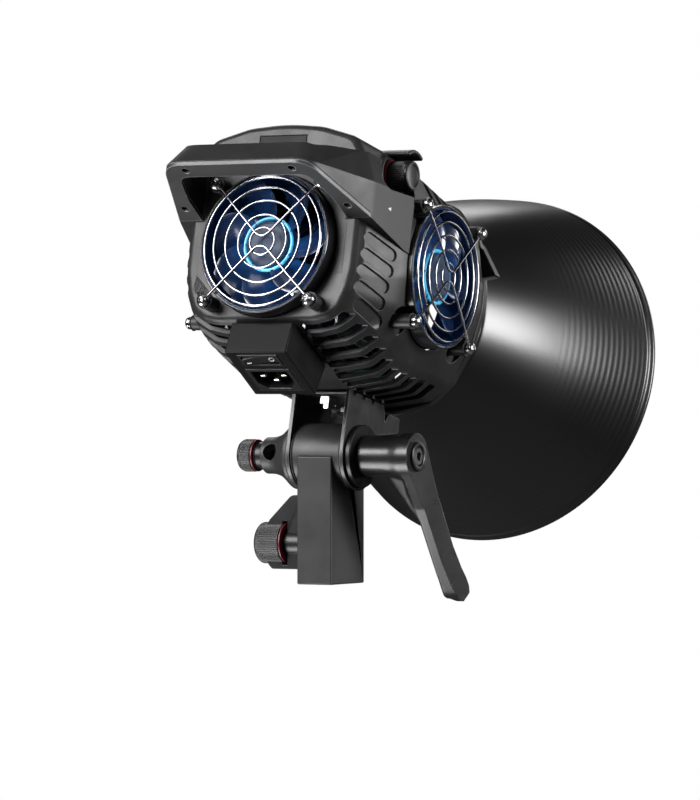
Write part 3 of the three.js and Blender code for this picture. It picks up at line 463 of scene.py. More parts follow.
# the hub's blue glow is painted light from the ring, and its blue-lightened edges are a painted highlight
HUB = finish_of("fan_hub", (0.015, 0.025, 0.05), 0.45, grain=0.15, mottle=0.4, edge=0.4, edge_wear_and_highlight=0.3,
                edge_wear_and_highlight_color=(0.2, 0.4, 0.7), ring_glow_and_painted_light=(0.03, 0.09, 0.22), ring_glow_and_painted_light_strength=0.14, shine=0.2)
BLADES = blade_finish()
CYAN = finish_of("fan_glow_ring", (0.1, 0.5, 0.7), 0.3, grain=0.2, mottle=0.5, edge=0.2, edge_wear_and_highlight=0.0,
                 ring_glow_and_painted_light=(0.02, 0.24, 0.5), ring_glow_and_painted_light_strength=0.6)
BOWL = bowl_finish()
ALLOY = finish_of("bare_alloy", (0.55, 0.56, 0.58), 0.33, metal=1.0, grain=0.15, edge=0.3, brushed=(1, 1, 12))
BRASS = finish_of("brass_pin", (0.75, 0.72, 0.66), 0.25, metal=1.0, grain=0.08, edge=0.3)
BOARD = finish_of("circuit_board", (0.012, 0.09, 0.035), 0.4, grain=0.1, mottle=0.3, edge=0.3)
PHOSPHOR = finish_of("led_phosphor", (0.8, 0.6, 0.12), 0.35, grain_size=0.3, edge=0.3)
MARK = finish_of("panel_marking", (0.7, 0.7, 0.7), 0.5, grain=0.1, edge=0.05, edge_wear_and_highlight=0.0)
CAD_FINISH = {"housing_plastic": HOUSING, "panel_plastic": PANEL, "moulded_black": MOULDED,
              "cast_black": CAST, "sheet_black": SHEET, "bowl_black": BOWL, "guard_chrome": CHROME,
              "steel_screw": SCREW, "red_ring": RED, "fan_frame": FRAME_BLUE, "fan_blade": BLADES,
              "bare_alloy": ALLOY, "brass_pin": BRASS, "circuit_board": BOARD, "led_phosphor": PHOSPHOR}
for part in frame["record"]["subparts"]:
    node = frame["nodes"][part["node"]]
    node.data.materials.clear()
    node.data.materials.append(CAD_FINISH[part["material_slot"]])

# ---- housing --------------------------------------------------------------------------------
SHELL_FRONT, FLAT_END, SIDE_TURN, SHELL_REAR = -32.6, 33.6, 62.0, 98.0
CHEEK_WIDE, CHEEK_NARROW, CHEEK_SEAT = 73, 57.6, 63
WALL, SEAM_Z, SEAM_END, LIP_SLOPE = 3, 109.5, 170.0, 0.374
FAN_HOLE, FAN_BORE = 35.75, 44.2
FAN_CORNERS = [(FAN_HOLE, FAN_HOLE), (FAN_HOLE, -FAN_HOLE), (-FAN_HOLE, -FAN_HOLE), (-FAN_HOLE, FAN_HOLE)]
REAR_FAN, SIDE_FAN = 109.6, 77.0
FAN_PLACES = (("rear", REAR, REAR_FAN), ("left", LEFT, SIDE_FAN), ("right", RIGHT, -SIDE_FAN))
FANS = {}
for side, turned_to, reach in FAN_PLACES:
    hub = to_head(JOINTS[f"{side}_fan_spin"]["pos_m"])
    spot = Vector((hub.x, reach, hub.z)) if side == "rear" else Vector((reach, hub.y, hub.z))
    FANS[side] = Matrix.Translation(spot) @ turned_to
FAN_FLOOR = {"rear": SHELL_REAR - REAR_FAN, "left": CHEEK_SEAT - SIDE_FAN, "right": CHEEK_SEAT - SIDE_FAN}

CROWN = [(62, 150.5), (49, 174), (25, 181), (0, 183.2)]
SECTIONS = [
    (SHELL_FRONT, [(0, 36.9), (24, 37.2), (46.5, 40.6), (59, 51), (70.5, 76), (75.5, 98), (75.5, 112),
                   (69, 142),
                   (50, 162), (26, 169.5), (0, 172)]),
    (FLAT_END, [(0, 37), (24, 37.3), (46.5, 41), (58.5, 50.5), (69.5, 75), (74, 98), (74, 128), *CROWN]),
    (SIDE_TURN, [(0, 47.4), (28, 47.7), (48, 50), (59, 57.5), (68.5, 78), (73, 98), (73, 128), *CROWN]),
    (80.0, [(0, 53.9), (30, 54.1), (44.5, 57), (56.6, 63.5), (63, 78), (65.3, 92), (65.3, 128), *CROWN]),
    (SHELL_REAR, [(0, 60.5), (35, 60.9), (43.5, 63.2), (50.4, 68.5), (54.8, 79), (CHEEK_NARROW, 92),
                  (CHEEK_NARROW, 130), *CROWN]),
]
CORNER_RADII = [200, 30, 10, 10, 25, 30, 30, 14, 12, 40, 200]


def section_at(y, inset=0.0):
    """The closed (x, z) outline of the housing at y; the bends between sections are eased over 8 mm."""
    def corners(at):
        at = min(max(at, SHELL_FRONT), SHELL_REAR)
        for (y0, low), (y1, high) in zip(SECTIONS, SECTIONS[1:]):
            if at <= y1:
                t = (at - y0) / (y1 - y0)
                return np.array(low, float) * (1 - t) + np.array(high, float) * t
    half = sum(corners(y + step) for step in (-6, -3, 0, 3, 6)) / 5
    if inset:
        away = half - np.array([0, 107.0])
        half = half - away / np.linalg.norm(away, axis=1)[:, None] * inset
    left = [(-x, z) for x, z in half[-2:0:-1]]
    radii = CORNER_RADII + CORNER_RADII[-2:0:-1]
    return rounded([tuple(p) for p in half] + left, radii, 5)


def loft(rings):
    """Closed skin through (y, outline) rings of equal length."""
    n = len(rings[0][1])
    points = [(x, y, z) for y, outline in rings for x, z in outline]
    faces = [(i * n + k, i * n + (k + 1) % n, (i + 1) * n + (k + 1) % n, (i + 1) * n + k)
             for i in range(len(rings) - 1) for k in range(n)]
    return Form(points, faces + [tuple(range(n)), tuple(range(len(points) - n, len(points)))])


def housing_skin(inset, front, rear, rear_edge=0.0):
    rings = [(y, section_at(y, inset)) for y in np.linspace(front, rear - rear_edge, 40)]
    for a in np.linspace(0, math.pi / 2, 6)[1:] if rear_edge else []:
        back, deep = rear_edge * (1 - math.sin(a)), rear_edge * (1 - math.cos(a))
        rings.append((rear - back, section_at(rear, inset + deep)))
    return loft(rings)


def lip_line(lift):
    """The seam under the cover as (y, z) points, raised by lift."""
    z = SEAM_Z + lift
    return [(-60, z), (SIDE_TURN - 4, z), (SIDE_TURN + 4, z + 4 * LIP_SLOPE),
            (SEAM_END, z + (SEAM_END - SIDE_TURN) * LIP_SLOPE)]


def across(outline, x0, x1):
    """A (y, z) outline between two x planes."""
    return prism(outline, x0, x1).at(LEFT)


def above(lift):
    return across([*lip_line(lift), (SEAM_END, 230), (-60, 230)], -100, 100)


def below(drop):
    return across([(-60, 0), (SEAM_END, 0), *reversed(lip_line(-drop))], -100, 100)


def hood():
    """The hood that runs back over the rear fan and ends in the handle bar."""
    radii = [1, 60, 15, 15, 60, 1]
    foot = rounded([(-73.2, 60), (-65.6, 98), (-48.6, 151.5), (48.6, 151.5), (65.6, 98), (73.2, 60)], radii,
                   14)
    brow = rounded([(-62, 60), (-56, 98), (-41.5, 143), (41.5, 143), (56, 98), (62, 60)], radii, 14)
    points = [(x, y, z) for x, y in foot for z in (100, 145)]
    low, ridge, rise = 158, 90, 0.136
    points += [(x, y, low + (142 - y) * rise) for x, y in brow if y > ridge]
    points += [(x, y, low + 52 * rise - (ridge - y) * 0.1) for x, y in brow if y < ridge]
    return soften(hull(points), 2.2, 3, 14)


def handle_hole():
    outline = [(-49.8, 97.9), (49.8, 97.9), (49, 117), (43.6, 140.2), (-43.6, 140.2), (-49, 117)]
    return prism(rounded(outline, [0.5, 0.5, 20, 9, 9, 20], 6), 90, 200)


def at_fan(side, form):
    """Copies of a form at each of a fan's screws."""
    return joined(form.move(u, v).at(FANS[side]) for u, v in FAN_CORNERS)


def pill(half, radius, steps=8):
    return arc(half, 0, radius, -90, 90, steps) + arc(-half, 0, radius, 90, 270, steps)


POCKETS = [(81.5, 109.6), (82.4, 99.7), (83.3, 89.7), (83.2, 79.8), (80.6, 69.8)]


def cheek_pockets(side, core):
    """Shallow pill-shaped recesses that follow the cheek's surface."""
    lean = math.atan2(CHEEK_WIDE - CHEEK_NARROW, SHELL_REAR - SIDE_TURN)
    facing = Matrix.Rotation(side * lean, 4, "Z") @ (LEFT if side > 0 else RIGHT)
    tilt = Matrix.Rotation(side * math.atan(LIP_SLOPE * math.cos(lean)), 4, "Z")
    pocket = prism(pill(9.5, 3.8), -10, 6)
    spots = [(side * (CHEEK_NARROW + (SHELL_REAR - y) * math.tan(lean)), y, z) for y, z in POCKETS]
    return shaped(joined(pocket.at(Matrix.Translation(spot) @ facing @ tilt) for spot in spots), ("-", core))


SLOT_PITCH = 12
SLOTS = [-18 + SLOT_PITCH * i for i in range(10)]


def vent_slots():
    slots = []
    for y in SLOTS:
        top = 48.2 + max(0.0, y - FLAT_END) * 0.35
        outline = rounded([(y - 3.8, 20), (y + 3.8, 20), (y + 3.8, top), (y - 3.8, top)], 1.5, 3)
        slots += [across(outline, -70, -22), across(outline, 22, 70)]
    return joined(slots)


def rib_pegs():
    """A small peg under each rib between two slots, left and right."""
    peg = lathe([(0, -1.6), (1.3, -1.2), (1.6, 0.6), (0, 1)], 16).at(turn(180, "X"))
    pegs = []
    for y in SLOTS[:-1]:
        rib = y + SLOT_PITCH / 2
        z = 37.2 + max(0.0, rib - FLAT_END) * 0.365
        pegs += [peg.move(side * 24.5, rib, z - 0.9) for side in (-1, 1)]
    return joined(pegs)


KNOBS = {side: to_head(JOINTS[joint]["pos_m"]) for side, joint in ((1, "dimmer_turn"), (-1, "cct_turn"))}
KNOB_FLOOR = 50.2


def at_knob(side, form):
    centre = KNOBS[side]
    return form.at(Matrix.Translation((0, centre.y, centre.z)) @ (LEFT if side > 0 else RIGHT))


def knob_scoop(side):
    """The hollow that runs back from the knob, so that it can be reached from behind."""
    rings = ((0, 15.5, 52.4), (0, 15.5, 92), (44 * side, 17, 77), (44 * side, 17, 92))
    return hull([(x, y, z) for shift, radius, z in rings for x, y in arc(shift, 0, radius, 0, 350, 36)])


def knob_hood(side):
    """A low rim round the knob that rises into a visor above it."""
    rim = soften(prism(arc(0, 0, 15.6, -85, 125, 30) + arc(0, 0, 13.9, 125, -85, 30), 44, 53.4), 0.7, 2)
    visor = soften(prism(arc(0, 0, 15.6, 48, 125, 16) + arc(0, 0, 13.2, 125, 48, 16), 44, 67), 0.9, 3)
    lip = shaped(rim, ("+", visor)).at(LEFT).move(0, KNOBS[1].y, KNOBS[1].z)
    return lip.at(Matrix.Scale(side, 4, (1, 0, 0)))


GROOVES = (-24, -12, 0, 12)


def build_housing():
    skin = housing_skin(0, SHELL_FRONT, SHELL_REAR, rear_edge=5)
    room = housing_skin(WALL, SHELL_FRONT - 5, SHELL_REAR - WALL)
    steps = [("+", shaped(hood(), ("&", above(0)))), ("-", room), ("-", handle_hole())]
    for side in (-1, 1):
        x0, x1 = sorted((side * (CHEEK_SEAT - WALL), side * CHEEK_SEAT))
        steps.append(("+", shaped(skin, ("&", box(x0, x1, -32, 70, 50, 160)))))
        steps.append(("+", shaped(skin, ("&", at_knob(side, rod(28, KNOB_FLOOR - 4, 66, 64))))))
    # the mouth of each fan bore flares open towards the outside
    bore = lathe([(0, -29), (FAN_BORE, -29), (FAN_BORE, -6), (FAN_BORE + 1.5, -1), (FAN_BORE + 6, 8),
                  (0, 8)], 96)
    for side in FANS:
        steps.append(("-", bore.at(FANS[side])))
        if side != "rear":
            steps.append(("-", at_fan(side, rod(9, FAN_FLOOR[side], 14, 32))))
        steps.append(("+", at_fan(side, rod(5, FAN_FLOOR[side] - 1.5, -1.1, 32, edge=0.5))))
    for side in (-1, 1):
        steps += [("-", at_knob(side, knob_scoop(side))), ("-", at_knob(side, rod(14.2, KNOB_FLOOR, 90, 64))),
                  ("+", knob_hood(side)),
                  ("-", cheek_pockets(side, housing_skin(1.3, SHELL_FRONT - 5, SHELL_REAR)))]
    steps += [("-", vent_slots()), ("+", rib_pegs())]
    core = housing_skin(1.8, SHELL_FRONT - 5, SHELL_REAR)
    for y in GROOVES:
        steps.append(("-", shaped(box(-90, 90, y - 3, y + 3, 112, 200), ("-", core))))
    steps.append(("-", box(-16.2, 16.2, 96, 99, 164.6, 175.2)))
    return shaped(skin, *steps)


shell = build_housing()
tower = box(-48.4, 48.4, 93.2, 98.2, 100, 155.6) + box(-44, 44, 98.19, REAR_FAN, 100, 155.6)
tower_room = box(-48.75, 48.75, 92.85, 98.5, 90, 155.95) + box(-44, 44, 98.49, REAR_FAN, 90, 155.95)
rear_part = box(-100, 100, 98.4, 200, 0, 300)
RIM_SCREWS = [(-36, 146), (36, 146), (-55.5, 110), (55.5, 110)]
rim_holes = joined(rod(2.4, 100, 145, 24).move(x, y) for x, y in RIM_SCREWS)
lower_part = shaped(below(0.2), ("+", tower))
on_head("rear_housing", shaped(shell, ("&", lower_part)), HOUSING, "housing_plastic", "rear_shell")
rim_room = shaped(above(0), ("-", above(2.85)), ("&", rear_part))
cover = shaped(shell, ("&", above(0.2)), ("-", tower_room), ("-", rim_room), ("-", rim_holes))
on_head("hood_and_cover", cover, HOUSING, "housing_plastic", "top_cover")
rim = shaped(above(0.1), ("-", above(2.5)), ("&", rear_part))
on_head("handle_trim", shaped(shell, ("&", rim), ("-", rim_holes)), LIGHTENED_TRIM, "housing_plastic", "handle_rim")

# ---- front ring, bayonet, reflector ---------------------------------------------------------
BAYONET_CENTRE = to_head(JOINTS["reflector_twist"]["pos_m"])
AT_BAYONET = HEAD @ Matrix.Translation((0, 0, BAYONET_CENTRE.z)) @ FORWARD
AT_BOWL = AT_BAYONET @ Matrix.Translation((0, 0, -BAYONET_CENTRE.y))
FLANGE = [(0, 33.8), (23, 34.3), (46.5, 39.4), (60, 52.5), (71.5, 76.3), (76, 98), (76, 112), (70, 142),
          (51, 164),
          (27, 171.5), (0, 174)]


def front_ring():
    left = [(-x, z) for x, z in FLANGE[-2:0:-1]]
    radii = [90, 30, 10, 12, 25, 40, 40, 25, 14, 50, 90]
    outline = rounded(FLANGE + left, radii + radii[-2:0:-1])
    plate = soften(prism(outline, -0.2, 5.65), 1.2, 3, 40).at(Matrix.Translation((0, -32.95, 0)) @ FORWARD)
    notch = prism([(-63.5, 147.5), (-82, 121.8), (-82, 118.6), (-68.6, 118.6)], -10, 10)
    bore = rod(52, -20, 20, 96).at(Matrix.Translation((0, -35, BAYONET_CENTRE.z)) @ FORWARD)
    return shaped(plate, ("-", bore), ("-", notch.at(Matrix.Translation((0, -36, 0)) @ FORWARD)))


on_head("front_flange", front_ring(), HOUSING, "housing_plastic", "front_ring")
grip = prism(rounded([(-64.5, 146), (-80, 121.5), (-69.8, 120)], 1.2, 4), 39, 46).at(FORWARD)
piece("release_catch", soften(grip, 0.6, 2, 40), HEAD, "release", MOULDED, ["mount_release"])


COLLAR, BOWL_RIM, BOWL_LENGTH, SHEET_THICK = 63, 113.0, 162.0, 1.6
BEAD = 2.5


def bowl_line(t):
    """Radius of the bowl's outer line, 0 at the collar to 1 at the rim."""
    return COLLAR + 50 * t + 4.5 * math.sin(math.pi * t)


def bowl():
    """Spun bowl: pressed ridges towards the rim, a dark groove and a rolled bead."""
    steps = 240
    outer, inner = [], []
    for i in range(steps + 1):
        t = i / steps
        z = t * (BOWL_LENGTH - 5)
        rise = min(1.0, max(0.0, (z - 66) / 50)) if z < 148 else 0.0
        swell = 0.13 * rise * (0.5 - 0.5 * math.cos(2 * math.pi * z / 5.2))
        groove = -1.0 * math.exp(-((z - 152.6) / 0.9) ** 2)
        fold = 0.9 * math.exp(-((z - 7) / 1.6) ** 2)
        outer.append((bowl_line(t) + swell + groove + fold - 0.3, z))
        inner.append((bowl_line(t) - SHEET_THICK, z))
    bead = [(BOWL_RIM - BEAD + BEAD * math.cos(a), BOWL_LENGTH - 2.6 + BEAD * math.sin(a))
            for a in np.radians(range(-70, 111, 12))]
    inner[0] = (COLLAR - SHEET_THICK, SHEET_THICK)
    seat = [(49.5, SHEET_THICK), (49.5, 0), (62.2, 0)]
    return lathe(outer + bead + inner[::-1][1:] + seat, 200, closed=True)


def vertex_values(data, name, values):
    """Stores one number per vertex for a material to read."""
    data.attributes.new(name, "FLOAT", "POINT").data.foreach_set("value", np.array(values, np.float32))


def from_axis(data):
    return np.array([math.hypot(v.co.x, v.co.y) for v in data.vertices], np.float32)


def show_bowl():
    """The bowl, with the values its finish reads, and the sleeve with its bayonet lugs."""
    ob = piece("bowl_reflector", bowl(), None, "bowl", BOWL, (), crease=50)
    data = ob.data
    along = np.array([v.co.z for v in data.vertices], np.float32)
    vertex_values(data, "along", along / 10)
    skin = [bowl_line(min(1.0, max(0.0, z / (BOWL_LENGTH - 5)))) - 1.45 for z in along]
    inside = (from_axis(data) < np.array(skin, np.float32)) & (along > 1) & (along < 156)
    vertex_values(data, "inside", inside)
    data.transform(AT_BOWL)
    sleeve = collar(47.9, 49.9, -6.5, 1.2, 96, edge=0.3)
    lug = soften(box(48.4, 52.4, -3.5, 3.5, -6.3, -3.9), 0.4, 2)
    for angle in (90, 210, 330):
        sleeve = sleeve + lug.at(turn(angle + 25))
    piece("bowl_sleeve", sleeve, AT_BOWL, "bowl", ALLOY)
    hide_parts("reflector")


show_bowl()

# ---- fans -----------------------------------------------------------------------------------
def fan_frame():
    """The fan's black outer wall, and four arms at the back that carry the motor."""
    back, seat = -26.5, -1.5
    wall = lathe([(42.0, back), (43.5, back), (43.5, seat - 0.9), (43.2, seat - 0.3), (42.7, seat),
                  (42.0, seat - 0.2)], 96, closed=True)
    spider = rod(14, back, back + 3, 48)
    for angle in (45, 135, 225, 315):
        spider = spider + soften(box(12, 42.6, -2, 2, back + 0.3, back + 2.7), 0.5, 2).at(turn(angle))
    return wall + spider


def fan_liner():
    """The sleeve inside the wall, with painted blue light from the ring."""
    return lathe([(41.9, -26), (41.9, -2.2), (41.3, -2.0), (40.6, -2.6), (40.6, -26)], 96, closed=True)


HUB_RADIUS, BLADE_LENGTH, BLADES_PER_FAN = 14, 25.0, 7


def fan_blade():
    """A twisted, forward-swept blade with a rounded section."""
    rows, cols = 14, 12
    points = []
    for side in (1, -1):
        for i in range(rows):
            t = i / (rows - 1)
            radius = HUB_RADIUS + t * BLADE_LENGTH
            sweep_angle = 0.42 * t * t
            half_chord = 0.47 - 0.06 * t
            pitch = math.radians(48 - 22 * t)
            for k in range(cols):
                s = -1 + 2 * k / (cols - 1)
                a = sweep_angle + s * half_chord
                camber = 1.6 * (1 - s * s)
                thick = 0.75 * math.sqrt(max(0.0, 1 - s ** 4)) + 0.05
                height = -math.tan(pitch) * s * half_chord * radius + camber + side * thick
                points.append((radius * math.cos(a), radius * math.sin(a), height))
    faces = []
    n = rows * cols
    for i in range(rows - 1):
        for k in range(cols - 1):
            a, b, c, d = i * cols + k, i * cols + k + 1, (i + 1) * cols + k + 1, (i + 1) * cols + k
            faces += [(a, b, c, d), (n + d, n + c, n + b, n + a)]
    tip = (rows - 1) * cols
    for k in range(cols - 1):
        faces += [(k + 1, k, n + k, n + k + 1), (tip + k, tip + k + 1, n + tip + k + 1, n + tip + k)]
    for i in range(rows - 1):
        a, b = i * cols, (i + 1) * cols
        faces += [(a, b, n + b, n + a), (b + cols - 1, a + cols - 1, n + a + cols - 1, n + b + cols - 1)]
    return Form(points, faces)


def fan_blades():
    """All blades of a fan, flattened to the room between hub and guard."""
    one = fan_blade()
    low, high = one.points[:, 2].min(), one.points[:, 2].max()
    flatter = Matrix.Scale(min(1.0, 17.0 / (high - low)), 4, (0, 0, 1))
    fit = Matrix.Translation((0, 0, -14.5)) @ flatter @ Matrix.Translation((0, 0, -(low + high) / 2))
    return joined(one.at(turn(i * 360 / BLADES_PER_FAN) @ fit) for i in range(BLADES_PER_FAN))


def fan_hub():
    return lathe([(0, -22.5), (14.4, -22.5), (14.4, -6.6), (13.6, -5.7), (12.6, -5.5), (12.2, -5.9),
                  (4.5, -5.9),
                  (4.0, -6.3), (0, -6.3)], 64)


WIRE = 0.72


def guard_wires():
    """Rings, two bent bars and an eye at each screw."""
    wires = [ring(radius, WIRE, 48 + int(radius)) for radius in (39.3, 33, 25, 16.3, 8.3)]
    far = FAN_HOLE - 2.2
    for side, start, end in ((1, 225, 315), (-1, 135, 45)):
        line = [(-far, side * far, 0.0), (-far + 1, side * (far - 1), 0.5), (-20, side * 20.4, 1.3)]
        line += [(x, y, 1.4) for x, y in arc(0, side * 10, 6.8, start, end, 10)]
        line += [(20, side * 20.4, 1.3), (far - 1, side * (far - 1), 0.5), (far, side * far, 0.0)]
        wires.append(sweep(line, WIRE))
    wires += [ring(3.2, WIRE, 28).move(u, v) for u, v in FAN_CORNERS]
    return joined(wires)


def phillips_screw():
    """Pan head with a crossed recess, and its shank."""
    dome = [(3.95 * math.cos(a), 1.0 + 2.9 * math.sin(a)) for a in np.radians(range(8, 90, 9))]
    head = lathe([(0, -12), (1.9, -12), (1.9, 0.95), (3.9, 0.95), *dome, (0, 3.95)], 36)
    slot = hull([(2.3 * x, 0.48 * y, 4.4) for x in (1, -1) for y in (1, -1)]
                + [(1.0 * x, 0.3 * y, 1.9) for x in (1, -1) for y in (1, -1)])
    return shaped(head, ("-", slot.at(turn(20))), ("-", slot.at(turn(110))))


WIRES, SCREW_FORM, BLADE_FORM = guard_wires(), phillips_screw(), fan_blades()
for side, place in FANS.items():
    at, rotor = HEAD @ place, f"{side}_rotor"
    piece(f"{side}_fan_wall", fan_frame(), at, "head", FAN_BLACK, [f"{side}_fan_frame"])
    piece(f"{side}_fan_liner", fan_liner(), at, "head", FRAME_BLUE)
    blades = piece(f"{side}_fan_blades", BLADE_FORM, None, rotor, BLADES, (), crease=60)
    # painted light from the ring on the blades: strongest at the hub, fading outwards
    painted_light_fade = np.clip(1 - (from_axis(blades.data) - HUB_RADIUS) / 25, 0, 1) ** 1.6
    vertex_values(blades.data, "ring_glow_and_painted_light", 0.08 + 0.95 * painted_light_fade)
    blades.data.transform(at)
    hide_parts(f"{side}_fan_rotor")
    piece(f"{side}_fan_hub", fan_hub(), at, rotor, HUB)
    piece(f"{side}_fan_halo", collar(14.9, 16.9, -8.8, -7.0, 96, edge=0.7), at, rotor, CYAN)
    piece(f"{side}_guard_wires", WIRES, at, "head", CHROME, [f"{side}_fan_guard"], crease=60)
    for i, (u, v) in enumerate(FAN_CORNERS, 1):
        screw = SCREW_FORM.at(turn(37 * i)).move(u, v)
        piece(f"{side}_guard_screw_{i}", screw, at, "head", SCREW, [f"{side}_fan_screw_{i}"])

# ---- power box ------------------------------------------------------------------------------
PANEL_REAR, PANEL_FRONT = Vector((104.3, 40.8)), Vector((62.5, 24.2))
run = (PANEL_FRONT - PANEL_REAR).normalized()
ON_PANEL = Matrix.Translation((0, *PANEL_FRONT)) @ basis(-AXIS_X, Vector((0, -run.x, -run.y)),
                                                         Vector((0, -run.y, run.x)))
BOX_HALF = 20.9
SWITCH_MID, INLET_MID = 36.5, 16.0
PINS = [(-7, 2), (7, 2), (0, -2.6)]


def pin_box(x, y, half_x, half_y, z0, z1):
    """A box round a contact, which stands at (x, y) from the middle of the inlet."""
    return box(x - half_x, x + half_x, INLET_MID + y - half_y, INLET_MID + y + half_y, z0, z1)


def power_box():
    body = across([(104.3, 40.8), (98.9, 60), (97.5, 60), (54, 43.85), (62.5, 24.2)], -BOX_HALF, BOX_HALF)
    body = soften(body, 0.9, 3, 30)
    room = across([(101.9, 42.2), (97, 58.6), (97, 70), (54, 54), (56.5, 43.6), (63.7, 27)], -18.9, 18.9)
    switch = rounded([(-14, 30.5), (14, 30.5), (14, 42.5), (-14, 42.5)], 0.8, 3)
    inlet = rounded([(-15.5, 4.5), (15.5, 4.5), (15.5, 27.5), (-15.5, 27.5)], 2.0, 4)
    openings = [("-", prism(outline, -6, 4).at(ON_PANEL)) for outline in (switch, inlet)]
    return shaped(body, ("-", room), *openings)


def switch_bezel():
    outer = soften(box(-13.65, 13.65, 30.85, 42.15, -7, 0.6), 0.35, 2)
    return shaped(outer, ("-", box(-12, 12, 32.4, 40.6, -8, 2))).at(ON_PANEL)


def rocker():
    half, width = 11.4, 7.0
    outline = [(-half + 1.4, -3.2), (half - 1.4, -3.2), (half - 0.6, 2.2), (half * 0.5, 1.35), (0, 1.05),
               (-half * 0.5, 1.35), (-half + 0.6, 2.2)]
    form = prism(outline, -width / 2, width / 2).at(Matrix.Rotation(math.pi / 2, 4, "X"))
    return soften(form, 0.45, 3, 15)


def inlet():
    body = soften(box(-15.15, 15.15, 4.85, 27.15, -15, 0.4), 0.5, 2)
    mouth = rounded([(-12.2, 8.5), (-12.2, -3), (-7.4, -8.5), (7.4, -8.5), (12.2, -3), (12.2, 8.5)], 1.2, 4)
    hollow = prism(mouth, -13, 8).move(0, INLET_MID)
    flare = hull([(x * k, y * k + INLET_MID, z) for x, y in mouth for k, z in ((1.0, -0.4), (1.07, 0.9))])
    slots = [("-", pin_box(x, y, 2.4, 1.4, -16, 0)) for x, y in PINS]
    return shaped(body, ("-", hollow), ("-", flare), *slots).at(ON_PANEL)


on_head("power_housing", power_box(), PANEL, "panel_plastic", "power_box")
on_head("switch_bezel", switch_bezel(), MOULDED, "moulded_black", "switch_frame")
AT_ROCKER = ON_PANEL @ Matrix.Translation((0, SWITCH_MID, -1.0)) @ turn(9, "Y")
piece("rocker_key", rocker(), HEAD @ AT_ROCKER, "rocker", MOULDED, ["rocker_switch"])
mark_on = ring(1.5, 0.28, 40, 6).at(Matrix.Translation((7.2, 0, 1.72)) @ turn(-4, "Y"))
mark_off = soften(box(-8.6, -5.8, -0.3, 0.3, 1.5, 1.9), 0.1, 1).at(turn(4, "Y"))
piece("rocker_marks", mark_on + mark_off, HEAD @ AT_ROCKER, "rocker", MARK)
on_head("mains_inlet", inlet(), MOULDED, "moulded_black", "inlet_socket")
for (x, y), name in zip(PINS, ("line", "neutral", "earth")):
    contact = soften(pin_box(x, y, 2, 1, -18, -1), 0.6, 3).at(ON_PANEL)
    on_head(f"contact_{name}", contact, BRASS, "brass_pin", f"inlet_pin_{name}")
slot_cover = soften(box(-15.85, 15.85, 96.35, 98, 164.95, 174.85), 0.4, 2)
on_head("slot_cover", slot_cover, PANEL, "panel_plastic", "port_cover")

# ---- knobs ----------------------------------------------------------------------------------
def landing(side, y, z):
    """Where a line across the head first meets the housing, and the way the surface faces there."""
    tree = BVHTree.FromPolygons([tuple(p) for p in shell.points], [tuple(f) for f in shell.faces])
    spot, facing, _, _ = tree.ray_cast(Vector((side * 120, y, z)), Vector((-side, 0, 0)))
    return spot, facing


def fluted(radius, z0, z1, ribs, depth=0.45, edge=0.6):
    """A round grip with fine straight ribs and rounded ends."""
    n = ribs * 6
    slight = 0.3 * edge
    levels = [(z0, -edge), (z0 + slight, -slight), (z0 + edge, 0), (z1 - edge, 0), (z1 - slight, -slight),
              (z1, -edge)]
    points = []
    for z, pull in levels:
        for i in range(n):
            a = 2 * math.pi * i / n
            r = radius + pull - depth * (0.5 + 0.5 * math.cos(ribs * a)) ** 2
            points.append((r * math.cos(a), r * math.sin(a), z))
    faces = [(k * n + i, k * n + (i + 1) % n, (k + 1) * n + (i + 1) % n, (k + 1) * n + i)
             for k in range(len(levels) - 1) for i in range(n)]
    return Form(points, faces + [tuple(range(n)), tuple(range((len(levels) - 1) * n, len(levels) * n))])


def control_knob():
    floor = KNOB_FLOOR
    cap = lathe([(0, floor + 12), (9.1, floor + 12), (9.1, floor + 14.9), (8.7, floor + 15.7),
                 (7.9, floor + 16.1),
                 (7.0, floor + 15.9), (6.6, floor + 15.3), (3.5, floor + 14.9), (0, floor + 14.8)], 72)
    return fluted(9.3, floor + 2.2, floor + 14.2, 44) + cap + rod(6, floor + 0.35, floor + 3, 40)


KNOB_RING = collar(6.35, 9.9, KNOB_FLOOR + 0.35, KNOB_FLOOR + 2.0, 72, edge=0.3)
for side, name, node in ((1, "dimmer", "dimmer_knob"), (-1, "cct", "cct_knob")):
    piece(f"{name}_dial", at_knob(side, control_knob()), HEAD, name, MOULDED, [node])
    piece(f"{name}_dial_ring", at_knob(side, KNOB_RING), HEAD, name, RED, [f"{node}_ring"])
    spot, facing = landing(side, 82.4, 132.3)
    along = AXIS_Y.cross(facing).normalized()
    stand = Matrix.Translation(spot) @ basis(along.cross(facing) * -1, along * -1, facing)
    pointer = prism([(1.6, 0), (-1.1, 1.2), (-1.1, -1.2)], -0.2, 0.12)
    on_head(f"{name}_pointer_mark", pointer.at(stand), MARK, "housing_plastic")

# ---- adapter, bracket, lever ----------------------------------------------------------------
STAND_KNOB_Z = (Vector(JOINTS["stand_knob_turn"]["pos_m"]) - PIVOT).z * 1000
AT_STAND_KNOB = ADAPTER @ Matrix.Translation((0, 0, STAND_KNOB_Z)) @ LEFT
BOLT_BORE, SCREW_BORE = 5.35, 3.35


def adapter_body():
    barrel = rod(20.5, -17, 17, 96, edge=0.8).at(LEFT)
    tube = soften(box(-11.9, 11.9, -20.9, 20.9, -77.7, 0), 0.9, 3)
    bores = [rod(8.2, -78.7, -32.7, 64), rod(BOLT_BORE, -18, 18, 48).at(LEFT),
             rod(4.35, 0, 13, 32).at(LEFT).move(0, 0, STAND_KNOB_Z)]
    return shaped(barrel, ("+", tube), *[("-", bore) for bore in bores])


